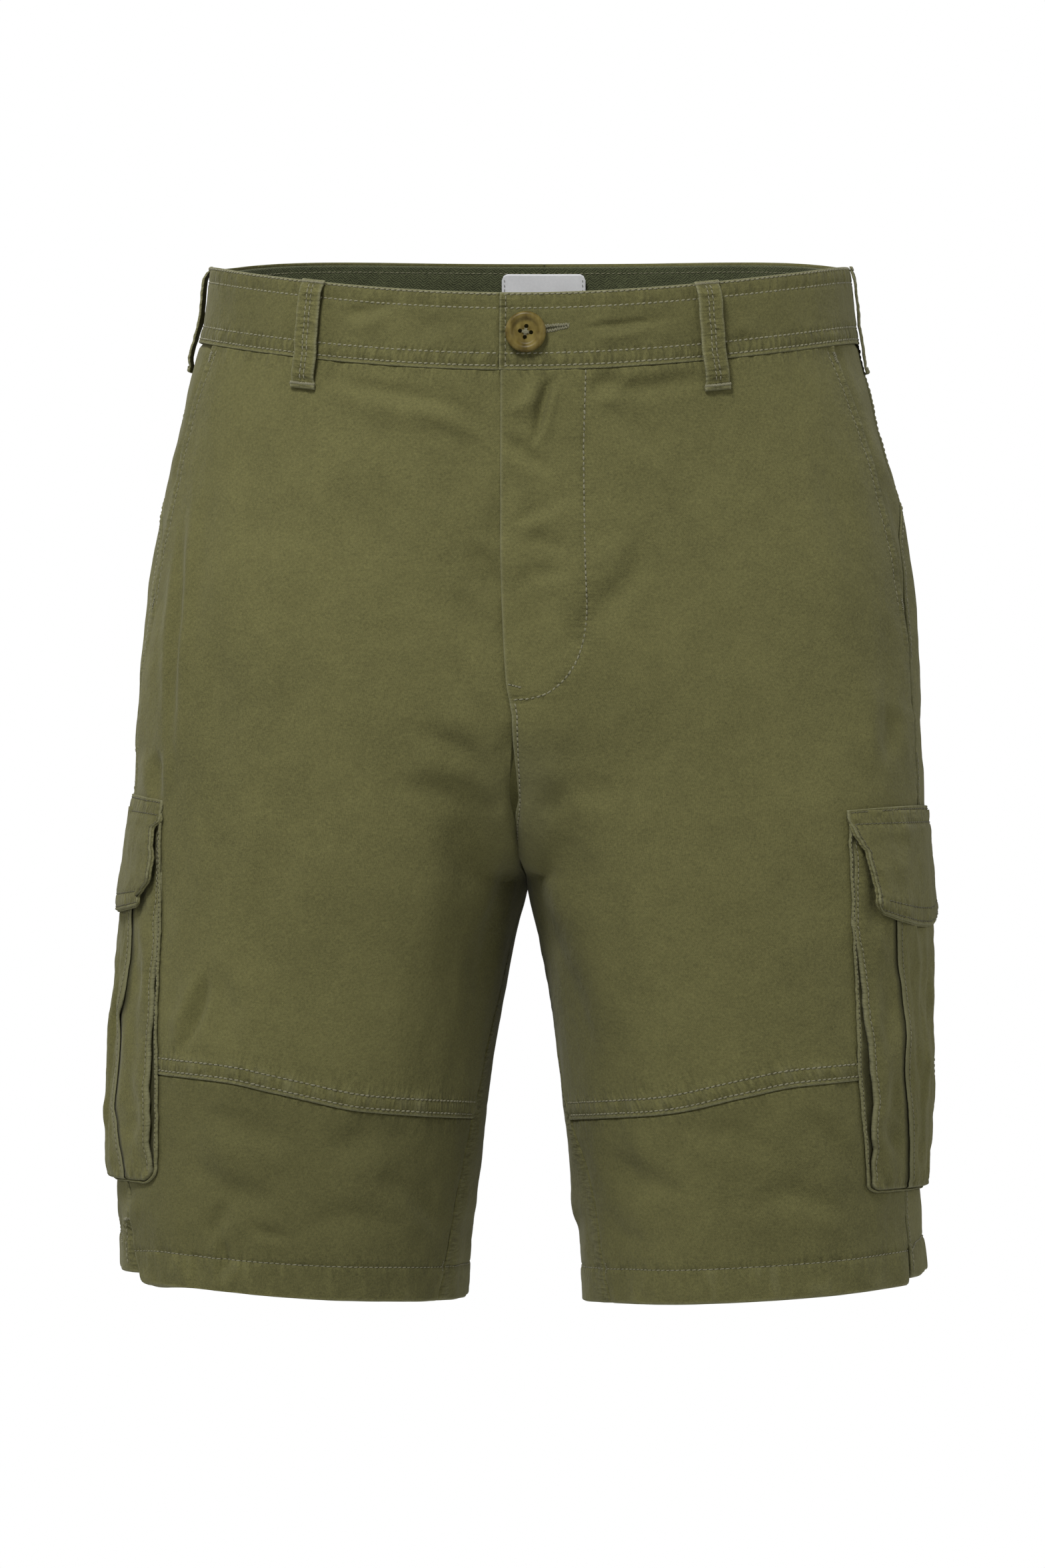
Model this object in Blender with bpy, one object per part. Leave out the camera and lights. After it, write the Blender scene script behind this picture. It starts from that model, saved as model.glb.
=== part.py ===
"""Cargo shorts, filled out and open, held at the waist.

Frame: +X is the wearer's left, +Y the wearer's back, +Z up. The origin is the
centre of the waist ring at mid height of the waistband. Lengths below are in
millimetres and are turned into metres when a mesh is made.

The cloth is one continuous surface, body(side, u, z): a half superellipse round
the torso that changes into a closed superellipse round each leg, with a J-shaped
rise between them. Each cut piece is a patch of that surface with its own wall.
"""

import math

import bmesh
import bpy
import numpy as np

# ------------------------------------------------------------------ dimensions
MM = 0.001
BAND_HALF = 19.0        # half the waistband's height
FRONT_DIP = 18.7        # how much lower the waist is at centre front than at the sides
BACK_RISE = 9.0         # how much higher it is at centre back
CROTCH_Z = -284.0       # where the two legs part
RISE_H = 80.0           # height of the J-shaped rise above that point
HEM_Z = -496.0          # lowest row of the surface, the hem at the inseam
CLOTH = 1.4             # wall of a panel with its turned seam allowances
BAND_T = 2.4            # waistband, doubled cloth
BAND_PROUD = 0.6        # waistband stands proud of the panels
FACING_T = 1.0          # twill facing inside the waistband
SEAM = 0.3              # gap between neighbouring pieces
LEG_POWER = 2.2         # roundness of a leg section
FLY_LAP = 6.5           # how far the left front laps past centre front
BAND_LAP = 7.2          # the same for the waistband
LAP_UNDER = 24.0        # end of the right waistband under the lap
LOOP_W = 12.0           # belt loop
LOOP_T = 1.5
LOOP_BELOW = 16.5       # belt loop below the waistband seam
BUTTON_R = 10.0
BUTTON_X = 5.8
BUTTON_Z = -0.5
BUTTON_T = 3.6
POCKET_TOP = -268.0
POCKET_BOTTOM = -438.0
POCKET_BACK_Y = 56.0
PLEAT_HALF = 0.36       # half the raised centre of the pocket, as a share of its width
FLAP_TOP = -246.0
FLAP_BOTTOM = -306.0
LABEL_W = 43.0
LABEL_H = 30.0

# half widths from the centre (outer, inner), depths to front and back, and how
# square the torso's section is (2 is an ellipse)
SECTION_COLUMNS = ("z", "outer", "inner", "front", "back", "power")
SECTIONS = (
    (24.0, 160.0, 0.0, 107.0, 107.0, 2.25),
    (-19.0, 165.0, 0.0, 109.0, 113.0, 2.25),
    (-60.0, 174.0, 0.0, 111.0, 121.0, 2.30),
    (-100.0, 184.0, 0.0, 113.0, 129.0, 2.35),
    (-140.0, 190.8, 0.0, 114.0, 134.0, 2.45),
    (-180.0, 193.8, 0.0, 113.5, 134.0, 2.60),
    (-230.0, 196.8, 0.0, 112.0, 127.0, 2.85),
    (-284.0, 199.0, 0.0, 110.0, 117.0, 3.10),
    (-320.0, 199.6, 7.6, 108.0, 111.0, 3.20),
    (-360.0, 200.0, 14.0, 106.0, 107.0, 3.20),
    (-400.0, 200.4, 19.1, 103.5, 104.0, 3.20),
    (-440.0, 201.0, 23.9, 100.5, 101.0, 3.20),
    (-500.0, 203.0, 30.6, 97.0, 98.0, 3.20),
)
# where the seams run: y of the side seam, of the slanted pocket mouth and of the
# front edges of the two cargo pockets, and how far round the inseams sit (in u)
LINE_COLUMNS = ("z", "side_y", "mouth_y", "cargo_left", "cargo_right", "inseam_left", "inseam_right")
LINES = (
    (24.0, 6.0, -50.0, -60.0, -56.0, 0.0, 0.0),
    (-19.0, 5.0, -46.0, -62.0, -57.0, 0.0, 0.0),
    (-60.0, 3.0, -38.5, -66.0, -59.0, 0.0, 0.0),
    (-88.0, -1.0, -37.0, -70.0, -62.0, 0.0, 0.0),
    (-106.0, -13.0, -36.8, -73.0, -64.0, 0.0, 0.0),
    (-124.0, -22.0, -36.6, -75.0, -66.0, 0.0, 0.0),
    (-146.0, -29.0, -36.4, -77.0, -68.0, 0.0, 0.0),
    (-172.0, -34.0, -35.6, -79.0, -70.0, 0.0, 0.0),
    (-200.0, -33.0, -33.0, -82.0, -72.0, 0.0, 0.0),
    (-245.0, -33.0, -33.0, -85.0, -74.0, 0.0, 0.0),
    (-284.0, -35.0, -35.0, -86.0, -75.5, 0.0, 0.0),
    (-320.0, -37.0, -37.0, -85.3, -76.0, 0.004, 0.008),
    (-360.0, -39.0, -39.0, -84.0, -75.5, 0.014, 0.033),
    (-400.0, -41.0, -41.0, -81.5, -74.5, 0.060, 0.053),
    (-440.0, -43.0, -43.0, -77.5, -72.0, 0.091, 0.070),
    (-500.0, -43.0, -43.0, -73.0, -68.0, 0.106, 0.084),
)
# the seam across the lower front (a runs from the inseam to the side seam) and
# the hem, which rises to the side because each leg hangs a little outwards
SEAM_COLUMNS = ("z", "height")
LEG_SEAM = ((0.0, -405.0), (0.18, -402.6), (0.34, -399.8), (0.54, -391.0), (0.66, -385.8), (0.80, -383.2), (1.0, -381.0))
HEM = ((0.0, -496.0), (0.1, -494.4), (0.2, -492.2), (0.27, -490.2), (0.33, -487.8), (0.39, -485.4), (0.45, -481.6), (0.5, -480.0))
MOUTH_END = -170.0      # where the pocket mouth meets the side seam
ROWS_TORSO = (-19.0, -44.0, -72.0, -100.0, -128.0, -154.0, -180.0)
ROWS_LEG = (0.0, 0.18, 0.4, 0.7, 1.0)


# -------------------------------------------------------------------- surface
def make_table(columns, rows):
    data = np.array(sorted(rows), dtype=float)
    return {name: data[:, i] for i, name in enumerate(columns)}


SECTION = make_table(SECTION_COLUMNS, SECTIONS)
LINE = make_table(LINE_COLUMNS, LINES)
LEG_SEAM_LINE = make_table(SEAM_COLUMNS, LEG_SEAM)
HEM_LINE = make_table(SEAM_COLUMNS, HEM)


def column(table, name, z):
    """A table column at height z, joined by monotone cubics."""
    x, y = table["z"], table[name]
    z = np.clip(np.asarray(z, dtype=float), x[0], x[-1])
    d = np.diff(y) / np.diff(x)
    m = np.concatenate([[d[0]], np.zeros(len(x) - 2), [d[-1]]])
    both = d[:-1] * d[1:] > 0
    m[1:-1][both] = 2 * d[:-1][both] * d[1:][both] / (d[:-1][both] + d[1:][both])
    i = np.clip(np.searchsorted(x, z, side="right") - 1, 0, len(x) - 2)
    h = x[i + 1] - x[i]
    t = (z - x[i]) / h
    return ((2 * t**3 - 3 * t**2 + 1) * y[i] + (t**3 - 2 * t**2 + t) * h * m[i]
            + (3 * t**2 - 2 * t**3) * y[i + 1] + (t**3 - t**2) * h * m[i + 1])


def rounding(angle, power):
    return (np.abs(np.cos(angle)) ** power + np.abs(np.sin(angle)) ** power) ** (-1.0 / power)


def smoothstep(t):
    t = np.clip(t, 0.0, 1.0)
    return t * t * (3 - 2 * t)


def torso_share(x_share, z):
    """How much of the torso's section is in the blend, 0 to 1. Beside the centre
    it is a quarter round, the J of the rise; further out it changes slowly."""
    t = np.clip((z - CROTCH_Z) / RISE_H, 0.0, 1.0)
    rise = (1 - (1 - t) ** 2) ** (0.5 + 1.5 * smoothstep(x_share / 0.2))
    slow = smoothstep((z - CROTCH_Z + 110.0) / 210.0)
    return rise + (slow - rise) * smoothstep((x_share - 0.04) / 0.34)


def body(side, u, z):
    """A point of the outer surface. u runs from centre front (or the inside of
    the leg) over the side at 0.5 to centre back (or the inside of the leg)."""
    u, z = np.broadcast_arrays(np.asarray(u, float), np.asarray(z, float))
    outer, inner = column(SECTION, "outer", z), column(SECTION, "inner", z)
    front, back = column(SECTION, "front", z), column(SECTION, "back", z)
    power = column(SECTION, "power", z)
    b = 2 * np.pi * u
    r = rounding(b, LEG_POWER)
    lx = (outer + inner) / 2 - (outer - inner) / 2 * np.cos(b) * r
    ly = (back - front) / 2 - (back + front) / 2 * np.sin(b) * r
    a = np.pi * u
    even = smoothstep((z - CROTCH_Z) / 150.0)
    tx = (1 - even) * lx + even * outer * np.sin(a) * rounding(a, power)
    share = np.clip(np.abs(tx) / outer, 0, 1)
    ty = (1 - share**power) ** (1 / power)
    ty = np.where(np.cos(a) > 0, -front * ty, back * ty)
    w = torso_share(share, z)
    tilt = FRONT_DIP * np.clip(np.cos(a), 0, 1) ** 2 - BACK_RISE * smoothstep(-1.1 * np.cos(a))
    high = z - tilt * smoothstep((z + 240) / 190)
    return np.stack([side * ((1 - w) * lx + w * tx), (1 - w) * ly + w * ty, high], axis=-1)


def normal(side, u, z):
    pu = body(side, u + 1e-3, z) - body(side, u - 1e-3, z)
    pz = body(side, u, z + 0.4) - body(side, u, z - 0.4)
    n = np.cross(pu, pz) * side
    return n / np.maximum(np.linalg.norm(n, axis=-1, keepdims=True), 1e-9)


def at(side, u, z, off):
    """A point of the surface moved out by off (in when negative)."""
    u, z = np.broadcast_arrays(np.asarray(u, float), np.asarray(z, float))
    return body(side, u, z) + normal(side, u, z) * np.asarray(off, float)[..., None]


def u_at_y(y, z, low=0.2, high=0.8):
    """The u at which the section at height z has this y."""
    y, z = np.broadcast_arrays(np.asarray(y, float), np.asarray(z, float))
    lo, hi = np.full(y.shape, low), np.full(y.shape, high)
    for _ in range(40):
        mid = (lo + hi) / 2
        less = body(1, mid, z)[..., 1] < y
        lo, hi = np.where(less, mid, lo), np.where(less, hi, mid)
    return (lo + hi) / 2


def u_at_x(x, z):
    """The u near centre front at which the torso section has this x."""
    x, z = np.broadcast_arrays(np.asarray(x, float), np.asarray(z, float))
    lo, hi = np.full(x.shape, -0.2), np.full(x.shape, 0.3)
    for _ in range(40):
        mid = (lo + hi) / 2
        less = body(1, mid, z)[..., 0] < x
        lo, hi = np.where(less, mid, lo), np.where(less, hi, mid)
    return (lo + hi) / 2


# --------------------------------------------------------------- seam positions
HALF_GAP_U = 0.00034


def side_u(z):
    return u_at_y(column(LINE, "side_y", z), z)


def mouth_u(z):
    return np.minimum(u_at_y(column(LINE, "mouth_y", z), z), side_u(z))


def inseam_u(side, z):
    return column(LINE, "inseam_left" if side > 0 else "inseam_right", z)


def cargo_u(side, z):
    return u_at_y(column(LINE, "cargo_left" if side > 0 else "cargo_right", z), z)


def fly_x(z):
    """x of the lap's edge: FLY_LAP past the centre at the top, none at its foot."""
    return -FLY_LAP * (1 - smoothstep((-19.0 - np.asarray(z, float)) / 185.0) ** 0.8)


def front_start_u(side, z):
    z = np.asarray(z, float)
    edge = fly_x(z)
    x = edge + SEAM / 2 if side > 0 else -edge + SEAM / 2
    return np.where(z > CROTCH_Z + RISE_H, u_at_x(x, np.maximum(z, CROTCH_Z + RISE_H)),
                    inseam_u(side, z) + HALF_GAP_U)


def leg_seam_z(a):
    """The seam across the lower front, a = 0 at the inseam, 1 at the side."""
    return column(LEG_SEAM_LINE, "height", a)


def hem_z(u):
    """Height of the hem round the leg, the same on its front and its back."""
    u = np.asarray(u, float)
    return column(HEM_LINE, "height", np.clip(np.minimum(u, 1 - u), 0.0, 0.5))


def keep_off_centre(side, p):
    """Pieces below the fly stay half a seam gap from the centre plane."""
    low = p[..., 2] < CROTCH_Z + RISE_H
    x = np.where(low, side * np.maximum(side * p[..., 0], SEAM / 2), p[..., 0])
    return np.stack([x, p[..., 1], p[..., 2]], axis=-1)


# ---------------------------------------------------------------- mesh helpers
def fresh_scene():
    for obj in list(bpy.data.objects):
        bpy.data.objects.remove(obj, do_unlink=True)
    group = bpy.data.collections.new("cargo_shorts")
    bpy.context.scene.collection.children.link(group)
    return group


def material(name, colour, roughness, metallic=0.0):
    mat = bpy.data.materials.new(name)
    mat.use_nodes = True
    shader = mat.node_tree.nodes["Principled BSDF"]
    shader.inputs["Base Color"].default_value = (*colour, 1.0)
    shader.inputs["Roughness"].default_value = roughness
    shader.inputs["Metallic"].default_value = metallic
    return mat


def link(group, name, bm, mat):
    bmesh.ops.recalc_face_normals(bm, faces=bm.faces[:])
    mesh = bpy.data.meshes.new(name)
    bm.to_mesh(mesh)
    bm.free()
    mesh.shade_smooth()
    mesh.set_sharp_from_angle(angle=math.radians(40))
    mesh.materials.append(mat)
    obj = bpy.data.objects.new(name, mesh)
    group.objects.link(obj)
    return obj


def wall(group, name, mat, cols, rows, outer, inner):
    """A cloth wall: two grids with the same rim, bridged. outer and inner take
    arrays a (across) and b (down), each 0 to 1, and give points in mm."""
    bm = bmesh.new()
    rims = []
    for place in (outer, inner):
        made = bmesh.ops.create_grid(bm, x_segments=cols, y_segments=rows, size=1.0)
        verts = made["verts"]
        a = np.array([v.co.x * 0.5 + 0.5 for v in verts])
        b = np.array([0.5 - v.co.y * 0.5 for v in verts])
        for v, p in zip(verts, place(a, b)):
            v.co = (p[0] * MM, p[1] * MM, p[2] * MM)
        mine = set(verts)
        rims += [e for e in bm.edges if e.is_boundary and e.verts[0] in mine]
    bmesh.ops.bridge_loops(bm, edges=rims)
    return link(group, name, bm, mat)


def pick(values, b):
    """The row height at b when the rows are unevenly spaced."""
    return np.interp(b, np.linspace(0, 1, len(values)), values)


# --------------------------------------------------------------------- pieces
def rise_rows():
    """Heights through the rise, close together where it turns."""
    return [CROTCH_Z + RISE_H * (1 - math.cos(math.radians(q))) for q in (72, 54, 36, 18)]


def front_rows():
    return list(ROWS_TORSO) + [CROTCH_Z + RISE_H] + rise_rows()


def front_piece(group, side, mat):
    upper = front_rows()
    count = len(upper) + len(ROWS_LEG)

    def place(off):
        def f(a, b):
            k = b * (count - 1)
            end = leg_seam_z(a) + SEAM / 2
            leg = [CROTCH_Z + (end - CROTCH_Z) * t for t in ROWS_LEG]
            stack = [np.full(a.shape, h) for h in upper] + leg
            stack[0] = stack[0] - SEAM / 2
            z = np.choose(np.rint(k).astype(int), stack)
            u0 = front_start_u(side, z)
            u1 = np.where(z > MOUTH_END, mouth_u(z), side_u(z)) - HALF_GAP_U
            return keep_off_centre(side, at(side, u0 + (u1 - u0) * a, z, off + 0 * a))
        return f

    name = "front_left" if side > 0 else "front_right"
    return wall(group, name, mat, 11, count - 1, place(0.0), place(-CLOTH))


def lower_piece(group, side, mat):
    ends = (inseam_u(side, HEM_Z), side_u(HEM_Z))

    def place(off):
        def f(a, b):
            top = leg_seam_z(a) - SEAM / 2
            z = top + (hem_z(ends[0] + (ends[1] - ends[0]) * a) - top) * b
            u0 = inseam_u(side, z) + HALF_GAP_U
            u1 = side_u(z) - HALF_GAP_U - vent(side, b)
            return at(side, u0 + (u1 - u0) * a, z, off + 0 * a)
        return f

    name = "front_lower_left" if side > 0 else "front_lower_right"
    return wall(group, name, mat, 11, 5, place(0.0), place(-CLOTH))


def vent(side, b):
    """The side vent at the hem: how far the front's corner draws back, in u."""
    wide = 0.034 if side < 0 else 0.006
    return wide * np.clip((b - 0.6) / 0.4, 0, 1) ** 1.3


def back_piece(group, side, mat):
    upper = front_rows()
    ends = (side_u(HEM_Z), 1 + inseam_u(side, HEM_Z))

    def place(off):
        def f(a, b):
            hem = hem_z((ends[0] + (ends[1] - ends[0]) * a) % 1.0)
            seam = leg_seam_z(1 - a)
            stack = [np.full(a.shape, h) for h in upper]
            stack += [CROTCH_Z + (seam - CROTCH_Z) * t for t in ROWS_LEG]
            stack += [seam + (hem - seam) * t for t in (0.2, 0.4, 0.6, 0.8, 1.0)]
            stack[0] = stack[0] - SEAM / 2
            z = np.choose(np.rint(b * (len(stack) - 1)).astype(int), stack)
            u0 = side_u(z) + HALF_GAP_U
            u1 = np.where(z > CROTCH_Z, 1 - HALF_GAP_U, 1 + inseam_u(side, z) - HALF_GAP_U)
            return keep_off_centre(side, at(side, u0 + (u1 - u0) * a, z, off + 0 * a))
        return f

    name = "back_left" if side > 0 else "back_right"
    return wall(group, name, mat, 14, len(upper) + len(ROWS_LEG) + 4, place(0.0), place(-CLOTH))


def hip_facing(group, side, mat):
    rows = ROWS_TORSO[:6]

    def place(off):
        def f(a, b):
            z = pick(rows, b)
            z = np.where(b <= 0, z - SEAM / 2, z)
            u0, u1 = mouth_u(z) + HALF_GAP_U, side_u(z) - HALF_GAP_U
            return at(side, u0 + (u1 - u0) * a, z, off + 0 * a)
        return f

    name = "hip_facing_left" if side > 0 else "hip_facing_right"
    return wall(group, name, mat, 3, len(rows) - 1, place(0.0), place(-CLOTH))


def band_stations(side, z, xs):
    """u of the waistband's columns: those near the lap by x, then an even run
    to centre back that the band and its facing share."""
    first = [u_at_x(np.full(z.shape, x), z) for x in xs]
    start = u_at_x(np.full(z.shape, LAP_UNDER + 4.0), z)
    return first + [start + (1 - HALF_GAP_U - start) * t for t in np.linspace(0, 1, 23)]


def band_piece(group, side, mat):
    """Half of the waistband. The left one laps over; the right one's end steps
    in behind the lap."""
    if side > 0:
        xs = (-BAND_LAP, 4.0, 16.0)
    else:
        xs = (-LAP_UNDER, -8.0, BAND_LAP - 0.5, 10.0, 13.5, BAND_LAP + 12.2)
    cols = len(xs) + 22

    def place(off):
        def f(a, b):
            z = BAND_HALF + (SEAM / 2 - 2 * BAND_HALF) * b
            u = np.choose(np.rint(a * cols).astype(int), band_stations(side, z, xs))
            depth = np.full(a.shape, float(off))
            if side < 0:
                x = np.where(u < 0.3, body(1, u, z)[..., 0], 999.0)
                depth = depth - (BAND_T + SEAM) * (1 - smoothstep((x - BAND_LAP) / 12.0))
            return at(side, u, z, depth)
        return f

    name = "waistband_left" if side > 0 else "waistband_right"
    return wall(group, name, mat, cols, 2, place(BAND_PROUD), place(BAND_PROUD - BAND_T))


def facing_piece(group, side, mat):
    deep = BAND_PROUD - BAND_T - SEAM

    def place(off):
        def f(a, b):
            z = 17.6 - 36.0 * b
            u = np.choose(np.rint(a * 22).astype(int), band_stations(side, z, ()))
            return at(side, u, z, off + 0 * a)
        return f

    name = "waistband_facing_left" if side > 0 else "waistband_facing_right"
    return wall(group, name, mat, 22, 2, place(deep), place(deep - FACING_T))


def label_piece(group, mat):
    deep = BAND_PROUD - BAND_T - SEAM - FACING_T - SEAM

    def place(off):
        def f(a, b):
            x = (a - 0.5) * LABEL_W
            z = 13.5 - LABEL_H * b
            y = column(SECTION, "back", z) + deep + off - 0.5 * (x / 20.0) ** 2 * 2.0
            return np.stack([x, y, z + BACK_RISE], axis=-1)
        return f

    return wall(group, "label_blank", mat, 4, 2, place(-0.4), place(-1.2))


def pocket_offset(a, b):
    """How far the pocket's outer face stands off the leg: low at its edges,
    fuller in the middle, with the raised centre pleat."""
    belly = 4.9 + 1.5 * np.sin(np.pi * np.clip(b * 0.9 + 0.05, 0, 1)) * np.sin(np.pi * a)
    pleat = 1.0 * smoothstep((PLEAT_HALF + 0.02 - np.abs(a - 0.5)) / 0.02)
    return belly + pleat


def pocket_u(side, z, a, inset=0.0):
    z = np.asarray(z, float)
    u0 = cargo_u(side, z) + inset / 560.0
    u1 = u_at_y(np.full(z.shape, POCKET_BACK_Y), z) - inset / 560.0
    return u0 + (u1 - u0) * a


def pocket_piece(group, side, mat):
    front = 0.5 - PLEAT_HALF
    across = [0.0, 0.06, front - 0.02, front, 0.25, 0.375, 0.5]
    across += [1 - t for t in across[-2::-1]]

    def place(inner):
        def f(a, b):
            a = pick(across, a)
            z = POCKET_TOP + (POCKET_BOTTOM - POCKET_TOP) * b
            out = pocket_offset(a, b)
            if inner:
                out = np.minimum(3.8, out - CLOTH)
            return at(side, pocket_u(side, z, a), z, out)
        return f

    name = "cargo_pocket_left" if side > 0 else "cargo_pocket_right"
    return wall(group, name, mat, len(across) - 1, 7, place(False), place(True))


def gusset_piece(group, side, mat):
    """The folded bellows strip between leg and pocket: a U down the front edge,
    along the bottom and up the back edge, 7 mm wide and folded flat."""
    wide = 7.0
    stations = [i / 21.0 for i in range(8)] + [1 / 3.0 + i / 42.0 for i in range(1, 14)]
    stations += [2 / 3.0 + i / 21.0 for i in range(8)]
    half = 1.0 / 3.0

    def place(off):
        def f(a, b):
            # a runs along the U, b from its outer edge to its inner edge
            a = pick(stations, a)
            inset = 0.6 + wide * b
            down = np.clip(a / half, 0, 1)
            along = np.clip((a - half) / half, 0, 1)
            up = np.clip((a - 2 * half) / half, 0, 1)
            foot = POCKET_BOTTOM + inset
            z = POCKET_TOP + (POCKET_BOTTOM - POCKET_TOP) * (down - up)
            z = np.clip(z, foot, POCKET_TOP - 1.0)
            lo, hi = pocket_u(side, z, 0.0, inset), pocket_u(side, z, 1.0, inset)
            return at(side, lo + (hi - lo) * along, z, off + 0 * a)
        return f

    name = "cargo_gusset_left" if side > 0 else "cargo_gusset_right"
    return wall(group, name, mat, len(stations) - 1, 1, place(2.9), place(0.5))


def flap_edge(b):
    """How far the flap's two sides draw in from top (b = 0) to bottom, in mm."""
    return np.interp(b, [0.0, 0.12, 0.4, 0.6, 0.8, 1.0], [-6.0, -5.0, 2.5, 7.0, 10.0, 14.0])


def flap_piece(group, side, mat):
    downs = [0.0, 0.12, 0.24, 0.4, 0.6, 0.8, 1.0]

    def place(inner):
        def f(a, b):
            b = pick(downs, b)
            corner = (2 * a - 1) ** 2
            top, bottom = FLAP_TOP - 3.5 * corner, FLAP_BOTTOM + 7.0 * corner
            z = top + (bottom - top) * b
            lift = 0.4 + 7.0 * smoothstep(b / 0.42) + 1.0 * b
            out = lift + (0.0 if inner else 1.8)
            inset = flap_edge(b)
            u0, u1 = pocket_u(side, z, 0.0), pocket_u(side, z, 1.0)
            u0, u1 = u0 + inset / 560.0, u1 - inset / 560.0
            return at(side, u0 + (u1 - u0) * a, z, out + 0 * a)
        return f

    name = "cargo_flap_left" if side > 0 else "cargo_flap_right"
    return wall(group, name, mat, 10, len(downs) - 1, place(False), place(True))


def loop_piece(group, name, side, u_mid, mat):
    """A belt loop: a strap that stands off the waistband between its two sewn
    ends, one over the waistband's top edge and one below its seam."""
    stations = [0.0, 0.1, 0.2, 0.36, 0.64, 0.8, 0.9, 1.0]

    def place(off):
        def f(a, b):
            b = pick(stations, b)
            z = 19.2 - (38.2 + LOOP_BELOW) * b
            u = u_mid + (a - 0.5) * LOOP_W / 448.0
            stand = 1.0 + 1.9 * smoothstep(b / 0.16) * smoothstep((1 - b) / 0.16)
            return at(side, u, z, stand + off)
        return f

    return wall(group, name, mat, 2, len(stations) - 1, place(LOOP_T), place(0.0))


def button_piece(group, mat):
    """A turned disc with a raised rim and a dished middle, four holes."""
    z = BUTTON_Z
    centre = at(1, u_at_x(np.array(BUTTON_X), np.array(z)), np.array(z), np.array(BAND_PROUD + 0.5))
    profile = [(0.0, 2.2), (5.4, 2.2), (7.2, 3.4), (8.8, 3.6), (9.8, 2.7), (10.0, 1.6), (8.6, 0.2), (0.0, 0.0)]
    bm = bmesh.new()
    verts = [bm.verts.new((r * MM, 0.0, h * MM)) for r, h in profile]
    edges = [bm.edges.new((p, q)) for p, q in zip(verts, verts[1:])]
    bmesh.ops.spin(bm, geom=verts + edges, cent=(0, 0, 0), axis=(0, 0, 1),
                   angle=2 * math.pi, steps=20, use_merge=True)
    bmesh.ops.remove_doubles(bm, verts=bm.verts[:], dist=1e-6)
    obj = link(group, "button", bm, mat)
    obj.location = [c * MM for c in centre]
    obj.rotation_euler = (math.radians(90), 0.0, 0.0)
    cutters = bpy.data.collections.new("cutters")
    bpy.context.scene.collection.children.link(cutters)
    for i in range(4):
        turn = math.radians(90 * i + 8)
        bm = bmesh.new()
        bmesh.ops.create_cone(bm, cap_ends=True, segments=8, radius1=1.0 * MM, radius2=1.0 * MM, depth=8 * MM)
        mesh = bpy.data.meshes.new("hole_%d" % i)
        bm.to_mesh(mesh)
        bm.free()
        hole = bpy.data.objects.new("hole_%d" % i, mesh)
        cutters.objects.link(hole)
        hole.parent = obj
        hole.location = (2.7 * MM * math.sin(turn), 2.7 * MM * math.cos(turn), 2.0 * MM)
        hole.hide_render = True
        hole.display_type = "WIRE"
        cut = obj.modifiers.new("hole_%d" % i, "BOOLEAN")
        cut.operation = "DIFFERENCE"
        cut.object = hole
    return obj


def main():
    group = fresh_scene()
    twill = material("olive_twill", (0.124, 0.120, 0.047), 0.88)
    facing = material("dark_herringbone", (0.047, 0.058, 0.030), 0.9)
    white = material("white_label", (0.62, 0.62, 0.62), 0.8)
    horn = material("horn_button", (0.17, 0.105, 0.035), 0.35)
    for side in (1, -1):
        band_piece(group, side, twill)
        facing_piece(group, side, facing)
        front_piece(group, side, twill)
        lower_piece(group, side, twill)
        back_piece(group, side, twill)
        hip_facing(group, side, twill)
        pocket_piece(group, side, twill)
        gusset_piece(group, side, twill)
        flap_piece(group, side, twill)
        wearer = "left" if side > 0 else "right"
        loop_piece(group, "belt_loop_front_" + wearer, side, 0.197 - 0.007 * side, twill)
        loop_piece(group, "belt_loop_side_" + wearer, side, 0.508, twill)
    loop_piece(group, "belt_loop_back", 1, 1.0, twill)
    label_piece(group, white)
    button_piece(group, horn)


main()
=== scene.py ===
"""Cargo shorts, filled out and open, held at the waist: the visual model.

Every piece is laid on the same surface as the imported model, body(side, u, z) in
millimetres, and moved out along its normal by its own layers, seams, puckers and
by one shared field of folds, so that neighbouring pieces stay together.
"""

import itertools
import math

import bpy
import numpy as np
from mathutils import Matrix, Vector


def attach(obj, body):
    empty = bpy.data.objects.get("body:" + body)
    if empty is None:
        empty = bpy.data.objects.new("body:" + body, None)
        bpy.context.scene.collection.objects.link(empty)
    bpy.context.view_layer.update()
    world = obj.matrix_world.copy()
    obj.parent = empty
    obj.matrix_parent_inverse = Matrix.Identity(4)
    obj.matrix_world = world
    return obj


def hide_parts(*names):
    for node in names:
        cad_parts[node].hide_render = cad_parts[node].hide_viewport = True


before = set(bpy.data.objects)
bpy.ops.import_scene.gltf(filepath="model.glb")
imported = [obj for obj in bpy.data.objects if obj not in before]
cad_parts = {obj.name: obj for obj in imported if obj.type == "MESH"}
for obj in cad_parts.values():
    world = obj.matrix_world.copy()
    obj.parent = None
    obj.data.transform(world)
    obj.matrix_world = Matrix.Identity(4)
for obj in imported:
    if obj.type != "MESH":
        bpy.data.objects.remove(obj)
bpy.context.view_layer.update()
MM = 0.001

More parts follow.
